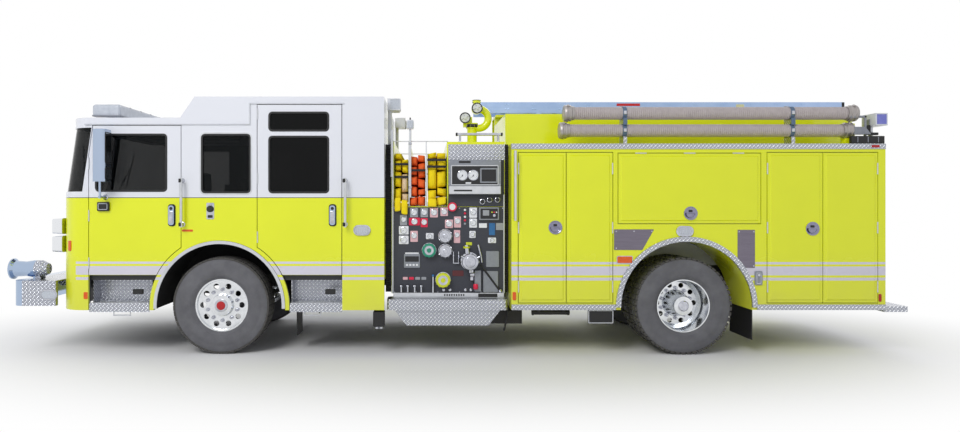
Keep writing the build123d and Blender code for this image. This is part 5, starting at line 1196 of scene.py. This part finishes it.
# Flood lamps: cast heads with cooling fins behind, a clear glass in a bezel, and a tilting yoke on the post.
lamp_blue, tree, shader = surface("blue-violet lamp glass", 0.08)
mottled(tree, shader, "#5C5FB8", "#8C92DE", 0.03, (0.05, 0.15), 0.0006)
for side, word in left_and_right:
    bm = bmesh.new()
    for x, y, z, lens in ((-0.7945, -0.900, 2.725, 1), (4.427, -1.120, 2.535, 2)):
        plate(bm, SIDE, (x, z), (0.126, 0.126), 0.014, -y + 0.1265, 0.007, 0, 0.010, 0.002)
        plate(bm, SIDE, (x, z), (0.108, 0.108), 0.008, -y + 0.1225, 0.003, lens)
        for fin in range(6):
            fin_y = y + 0.060 + fin * 0.010
            slab(bm, (x - 0.055, fin_y, z - 0.052), (x + 0.055, fin_y + 0.004, z + 0.070), 0, 0.001)
        slab(bm, (x - 0.072, y - 0.030, z - 0.060), (x - 0.066, y + 0.030, z + 0.012), 3, 0.002)
    finish_piece(f"flood_lamp_faces_{word}", bm, (white_gloss, clear_lens, lamp_blue, rail_grey), "vehicle",
                 side)

# Crosslay hoses: woven polyester jackets folded flat, to and fro, and stood on edge in the bays. Each stack
# shows its folds as soft lips at the module's side, with black ties across the top.


def hose_jacket(name, low, high):
    """Woven polyester: a fine twill, drawn at 6 mm so that it shows, over soft creases and soiled folds."""
    material, tree, shader = surface(name, 0.85)
    patches = mottled(tree, shader, low, high, 0.05, (0.75, 0.95))
    place = add_node(tree, "ShaderNodeTexCoord").outputs["Object"]
    twill = add_node(tree, "ShaderNodeTexWave", {"Vector": place, "Scale": 26.0, "Distortion": 0.4},
                     bands_direction="DIAGONAL")
    mixed = add_node(tree, "ShaderNodeMath", {0: patches, 1: twill.outputs["Fac"]}, operation="ADD")
    relief = add_node(tree, "ShaderNodeBump", {"Height": mixed, "Strength": 0.5, "Distance": 0.003})
    tree.links.new(relief.outputs[0], shader.inputs["Normal"])
    return material


jackets = (
    hose_jacket("yellow hose jacket", "#F2CC00", "#FFEC10"), hose_jacket("tan hose jacket", "#D9B98C", "#F2DCC0"),
    hose_jacket("orange hose jacket", "#E24E12", "#FF7A34"),
)
tie_web, tree, shader = surface("black polyester tie")
mottled(tree, shader, "#131416", "#24262A", 0.008, (0.7, 0.9), 0.0006)

# Stack: its front and rear edge in the bay, its folds' heights, how far each hangs out, and each one's jacket
yellow, tan, orange = range(3)
bay_floor_z = 1.606
stacks = (
    (-0.799, -0.729, (2.190, 2.110, 1.985, 1.800, 1.640), (0.010, 0.022, 0.034, 0.050, 0.062), (yellow,) * 5),
    (-0.723, -0.652, (2.120, 2.060, 1.960, 1.740, 1.628), (0.012, 0.030, 0.040, 0.052, 0.064),
     (yellow, yellow, tan, tan, yellow)),
    (-0.629, -0.550, (2.155, 2.040, 1.930, 1.820, 1.700), (0.012, 0.026, 0.044, 0.050, 0.056), (orange,) * 5),
    (-0.544, -0.464, (2.170, 2.080, 1.900, 1.790, 1.710), (0.014, 0.022, 0.040, 0.050, 0.058), (orange,) * 5),
    (-0.437, -0.338, (2.195, 2.120, 2.040, 1.780, 1.645), (0.014, 0.024, 0.034, 0.058, 0.066), (yellow,) * 5),
    (-0.332, -0.232, (2.195, 2.110, 1.990, 1.800, 1.705), (0.012, 0.024, 0.036, 0.052, 0.060), (yellow,) * 5),
)
bm = bmesh.new()
for index, (x0, x1, tops, hangs, colours) in enumerate(stacks):
    feet = [lower + 0.016 for lower in tops[1:]] + [bay_floor_z]
    for level, (top, hang, foot, colour) in enumerate(zip(tops, hangs, feet, colours)):
        before = set(bm.faces)
        slab(bm, (x0 + 0.004 * (level % 2), -0.955 - hang, foot),
             (x1 - 0.003 * ((level + index) % 2), 0.955 + hang, top))
        edges = {e for f in set(bm.faces) - before for e in f.edges}
        bmesh.ops.subdivide_edges(bm, edges=list(edges), cuts=5, use_grid_fill=True)
        made = set(bm.faces) - before
        verts = {v for f in made for v in f.verts}
        middle = Vector(((x0 + x1) / 2, 0, (foot + top) / 2))
        for vert in verts:
            u = abs(vert.co.x - middle.x) / ((x1 - x0) / 2)
            w = abs(vert.co.z - middle.z) / ((top - foot) / 2)
            # The fold's lip: drawn in at its edges, creased across its face, each fold a little askew
            lip = 0.030 * max(u, w) ** 3 + 0.005 * math.sin(vert.co.z * 160 + index * 2 + level)
            if abs(vert.co.y) > 0.93:
                vert.co.y -= math.copysign(max(lip, 0), vert.co.y)
                vert.co.x += 0.005 * math.sin(level * 2.3 + index) * (1 - u)
                vert.co.z += 0.006 * math.sin(index * 3.1 + level * 1.7 + vert.co.x * 30) * (1 - w)
                vert.co.z += 0.22 * math.sin(index * 1.9 + level * 2.6) * (vert.co.x - middle.x)
        new_faces(bm, before, colour)
bmesh.ops.smooth_vert(bm, verts=[v for v in bm.verts if abs(v.co.y) > 0.9], factor=0.35, use_axis_x=True,
                      use_axis_y=True, use_axis_z=True)
# The lowest folds on the left have slipped out over the edge of the panel
for x, z, w, h in ((-0.765, 1.620, 0.066, 0.150), (-0.690, 1.590, 0.068, 0.160), (-0.385, 1.640, 0.094, 0.090),
                   (-0.275, 1.660, 0.084, 0.080)):
    before = set(bm.faces)
    slab(bm, (x - w / 2, -1.066, z - h / 2), (x + w / 2, -1.026, z + h / 2), yellow, 0.018, 3)
    for vert in {v for f in set(bm.faces) - before for v in f.verts}:
        vert.co.z += 0.20 * math.sin(x * 40) * (vert.co.x - x)
        vert.co.y += 0.05 * (vert.co.z - z) - 0.004
hoses = finish_piece("crosslay_hose_folds", bm, jackets, "vehicle", -1, False, 60)
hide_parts("crosslay_hoses")
bm = bmesh.new()
for x0, x1, z in ((-0.803, -0.650, 2.052), (-0.633, -0.462, 1.985), (-0.441, -0.228, 2.100),
                  (-0.441, -0.228, 2.025), (-0.803, -0.650, 1.912)):
    slab(bm, (x0, -1.008, z), (x1, -0.990, z + 0.026), 0, 0.004, 2)
finish_piece("hose_ties", bm, (tie_web,), "vehicle", -1, True)

# Deck gun fittings: black-rimmed white handwheels on four chromed spokes, bolted flanges and a banded nozzle.
wheel_black, tree, shader = surface("black handwheel rim", 0.4)
mottled(tree, shader, "#101113", "#1E2023", 0.02, (0.35, 0.5), 0.0005)
for name, x, z, body in (
    ("gun_lift_wheel", 0.026, 2.685, "gun_base"), ("gun_tilt_wheel", 0.174, 2.805, "gun_barrel"),
):
    bm = bmesh.new()
    turned(bm, [(0.066, -0.006), (0.069, -0.010), (0.066, -0.020), (0.056, -0.021), (0.053, -0.014)],
           (x, -0.105, z), (0, 1, 0), 0, 36)
    turned(bm, [(0.054, -0.0165), (0.020, -0.019), (0.018, -0.026), (0.0, -0.028)], (x, -0.105, z), (0, 1, 0), 1, 36)
    for index in range(4):
        angle = math.tau * index / 4 + 0.4
        rod(bm, (x + 0.018 * math.cos(angle), -0.1265, z + 0.018 * math.sin(angle)),
            (x + 0.052 * math.cos(angle), -0.1265, z + 0.052 * math.sin(angle)), 0.003, 2, 8)
    finish_piece(name, bm, (wheel_black, white_gloss, chrome), body)
bm = bmesh.new()
for x, y in around(8, 0.082, 0.5, (0.117, 0)):
    rod(bm, (x, y, 2.337), (x, y, 2.350), 0.009, 0, 6)
turned(bm, [(0.075, 0.0), (0.078, 0.010), (0.078, 0.030), (0.075, 0.040)], (0.117, 0, 2.575), (0, 0, 1), 1, 32)
for x, y in around(10, 0.079, 0.0, (0.117, 0)):
    rod(bm, (x, y, 2.582), (x, y, 2.608), 0.004, 0, 6)
finish_piece("gun_flange_bolts", bm, (chrome, wheel_black), "gun_base")
bm = bmesh.new()
for r, z in ((0.054, 2.888), (0.050, 2.902), (0.054, 2.914)):
    turned(bm, [(r - 0.004, -0.005), (r, -0.003), (r, 0.003), (r - 0.004, 0.005)], (0.174, 0, z), (0, 0, 1), 0, 30)
turned(bm, [(0.048, 2.917), (0.040, 2.9185), (0.038, 2.9175), (0.0, 2.9175)], (0.174, 0, 0), (0, 0, 1), 0, 30)
finish_piece("gun_nozzle_bands", bm, (wheel_black,), "gun_barrel")

# Hard suction hoses: corrugated grey rubber over a wire helix, with turned couplings and blue webbing straps.
coupling_length = 0.110
rib_pitch = 0.022
coupling_metal, tree, shader = surface("pale coupling casting", 0.4, 0.6)
mottled(tree, shader, "#8F8A88", "#BDB7B4", 0.05, (0.3, 0.5), 0.0008)
strap_web, tree, shader = surface("steel-blue strap webbing")
mottled(tree, shader, "#4E6178", "#6C8098", 0.006, (0.7, 0.9), 0.0006)
bm = bmesh.new()
for z, front, rear in ((2.423, 0.993, 4.174), (2.612, 1.042, 4.222)):
    profile = [(0.0, front + 0.001), (0.070, front + 0.001)]
    count = int((rear - front - 2 * coupling_length) / rib_pitch)
    for index in range(count):
        x = front + coupling_length + index * rib_pitch
        profile += [(0.0635, x), (0.0695, x + 0.006), (0.0695, x + 0.014), (0.0635, x + 0.0205)]
    profile += [(0.070, rear - 0.001), (0.0, rear - 0.001)]
    turned(bm, profile, (0.0, -1.120, z), (1, 0, 0), 0, 28)
    for end, way in ((front, 1), (rear, -1)):
        turned(bm, [(0.040, 0.0), (0.080, 0.0), (0.088, 0.008), (0.090, 0.030), (0.082, 0.036), (0.082, 0.052),
                    (0.088, 0.058), (0.088, 0.078), (0.076, 0.086), (0.076, 0.110), (0.066, 0.112)],
               (end, -1.120, z), (way, 0, 0), 1, 36)
        turned(bm, [(0.060, 0.003), (0.0, 0.003)], (end, -1.120, z), (way, 0, 0), 2, 24)
        lug_x = end + way * 0.044
        for angle in (0.5, math.pi + 0.5):
            slab(bm, (lug_x - 0.012, -1.134, z + 0.078), (lug_x + 0.012, -1.106, z + 0.099), 1, 0.004, 1,
                 Matrix.Rotation(angle, 3, "X"), (end, -1.120, z))
suction = finish_piece("ribbed_suction_hoses", bm, (suction_rubber, coupling_metal, black_rubber), "vehicle",
                       -1, False, 40)
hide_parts("suction_hoses")
bm = bmesh.new()
for x in (1.695, 3.507):
    for z in (2.423, 2.612):
        turned(bm, [(0.0705, -0.022), (0.0725, -0.022), (0.0725, 0.022), (0.0705, 0.022)], (x, -1.120, z), (1, 0, 0),
               0, 32)
        slab(bm, (x - 0.016, -1.200, z - 0.020), (x + 0.016, -1.190, z + 0.020), 1, 0.003)
    slab(bm, (x - 0.022, -1.1955, 2.480), (x + 0.022, -1.1905, 2.556), 0, 0.001)
finish_piece("suction_hose_straps", bm, (strap_web, chrome), "vehicle")

# Ladder: mill-finished box sections riveted in pairs, rubber-capped ends, ribbed rungs, a red band and a tag.
red_band, tree, shader = surface("red identification tape")
mottled(tree, shader, "#C4181C", "#E0282C", 0.03, (0.3, 0.5), 0.0002)
tag_cream, tree, shader = surface("aged cream label stock")
mottled(tree, shader, "#D9D6A0", "#E8E6C4", 0.02, (0.5, 0.7), 0.0002)
first_rung_x = 0.259
rung_pitch = 0.3556
bm = bmesh.new()
for y, out in ((0.520, -1), (0.980, 1)):
    for rung in range(13):
        for z in (2.938, 2.879):
            x = first_rung_x + rung_pitch * rung
            for shift in (-0.018, 0.018):
                turned(bm, [(0.009, 0.0), (0.008, 0.003), (0.004, 0.0045), (0.0, 0.005)], (x + shift, y, z),
                       (0, out, 0), 0, 10)
    slab(bm, (0.196, y - 0.0015 if out < 0 else y, 2.9005), (5.073, y if out < 0 else y + 0.0015, 2.9065), 0)
    for x0, x1 in ((0.1965, 0.230), (5.035, 5.0725)):
        slab(bm, (x0, y - 0.002 if out < 0 else y - 0.037, 2.8265),
             (x1, y + 0.037 if out < 0 else y + 0.002, 2.9685), 2, 0.003)
slab(bm, (2.061, 0.5165, 2.918), (2.371, 0.5200, 2.951), 1, 0.001)
slab(bm, (3.640, 0.5168, 2.895), (3.745, 0.5200, 2.940), 3, 0.001)
for rung in range(14):
    x = first_rung_x + rung_pitch * rung
    profile = [(0.0175, 0.0)]
    for rib in range(40):
        profile += [(0.0175, 0.012 + rib * 0.009), (0.0190, 0.0145 + rib * 0.009), (0.0175, 0.017 + rib * 0.009)]
    turned(bm, profile, (x, 0.562, 2.8975), (0, 1, 0), 0, 12)
finish_piece("ladder_rivets_and_caps", bm, (ladder_metal_sky_tinted, red_band, black_rubber, tag_cream), "vehicle")

# Rear top corner: a folded grey bracket, a black arm and a rail that carries the hoses' rear ends and the lamp.
bm = bmesh.new()
slab(bm, (4.093, -1.262, 2.272), (4.448, -1.214, 2.354), 2, 0.006, 2)
for x in (4.16, 4.27, 4.38):
    slab(bm, (x - 0.004, -1.2635, 2.285), (x + 0.004, -1.2615, 2.345), 1, 0.0005)
slab(bm, (4.095, -1.150, 2.272), (4.198, -1.050, 2.500), 0, 0.006, 2)
before = set(bm.faces)
slab(bm, (4.157, -1.212, 2.372), (4.338, -1.192, 2.457), 1, 0.004)
for vert in {v for f in set(bm.faces) - before for v in f.verts}:
    if vert.co.z > 2.41 and vert.co.x > 4.25:
        vert.co.x -= 0.060
slab(bm, (4.278, -1.190, 2.356), (4.300, -1.165, 2.580), 1, 0.003)
slab(bm, (4.132, -1.190, 2.556), (4.300, -1.165, 2.580), 1, 0.003)
slab(bm, (4.317, -1.165, 2.372), (4.360, -1.130, 2.480), 2, 0.004)
slab(bm, (4.317, -1.165, 2.372), (4.445, -1.130, 2.400), 2, 0.004)
finish_piece("rear_corner_brackets", bm, (body_paint, rail_grey, black_rubber), "vehicle")

# Under the body: a black splash plate edged in white, a drain pipe on clips, and brake chambers on the axles.
bm = bmesh.new()
slab(bm, (1.276, -1.260, 0.345), (1.553, -1.248, 0.4955), 0, 0.004)
plate(bm, SIDE, (1.4145, 0.4205), (0.265, 0.138), 0.008, 1.2615, 0.0015, 1, 0.007)
rod(bm, (0.699, -1.180, 0.456), (1.083, -1.180, 0.456), 0.026, 0, 20)
for x in (0.699, 1.083):
    turned(bm, [(0.026, -0.012), (0.031, -0.010), (0.031, 0.010), (0.026, 0.012)], (x, -1.180, 0.456), (1, 0, 0),
           0, 20)
for x in (0.759, 1.023):
    slab(bm, (x - 0.012, -1.210, 0.448), (x + 0.012, -1.150, 0.4955), 0, 0.003)
slab(bm, (-1.023, -1.216, 0.304), (-0.902, -1.070, 0.4645), 0, 0.005)
for share in (0.3, 0.7):
    x = -1.023 + 0.121 * share
    turned(bm, [(0.0, -0.0305), (0.022, -0.030), (0.022, 0.001)], (x, -1.143, 0.304), (0, 0, 1), 2, 18)
rod(bm, (0.445, -1.060, 0.491), (0.436, -1.060, 0.400), 0.011, 0, 12)
rod(bm, (0.436, -1.060, 0.402), (0.403, -1.060, 0.235), 0.011, 0, 12)
finish_piece("under_body_fittings", bm, (black_rubber, white_gloss, chrome), "vehicle")
bm = bmesh.new()
for y in (-0.62, 0.62):
    turned(bm, [(0.0, -0.075), (0.070, -0.070), (0.082, -0.055), (0.082, -0.006), (0.088, 0.0), (0.082, 0.006),
                (0.082, 0.055), (0.066, 0.075), (0.0, 0.078)], (2.520, y, 0.640), (1, 0, 0), 0, 28)
    slab(bm, (2.44, y - 0.03, 0.52), (2.47, y + 0.03, 0.60), 0, 0.004)
finish_piece("brake_chambers", bm, (casting,), "vehicle")

# Dashboard: a row of switches and three dials in moulded black bezels, seen through the front windows.
bm = bmesh.new()
for index in range(10):
    plate(bm, TAIL, (-0.95 + index * 0.085, 1.595), (0.060, 0.050), 0.010, -4.012, 0.006, index % 2, None, 0.001)
for y in (-0.90, -0.78, -0.66):
    turned(bm, [(0.050, 0.0), (0.050, 0.008), (0.044, 0.010), (0.043, 0.003), (0.0, 0.003)], (-4.018, y, 1.575),
           (1, 0, 0), 2, 28)
    turned(bm, [(0.042, 0.004), (0.0, 0.004)], (-4.018, y, 1.575), (1, 0, 0), 3, 28)
finish_piece("dash_instruments", bm, (black_rubber, rail_grey, chrome, dial_black), "vehicle")
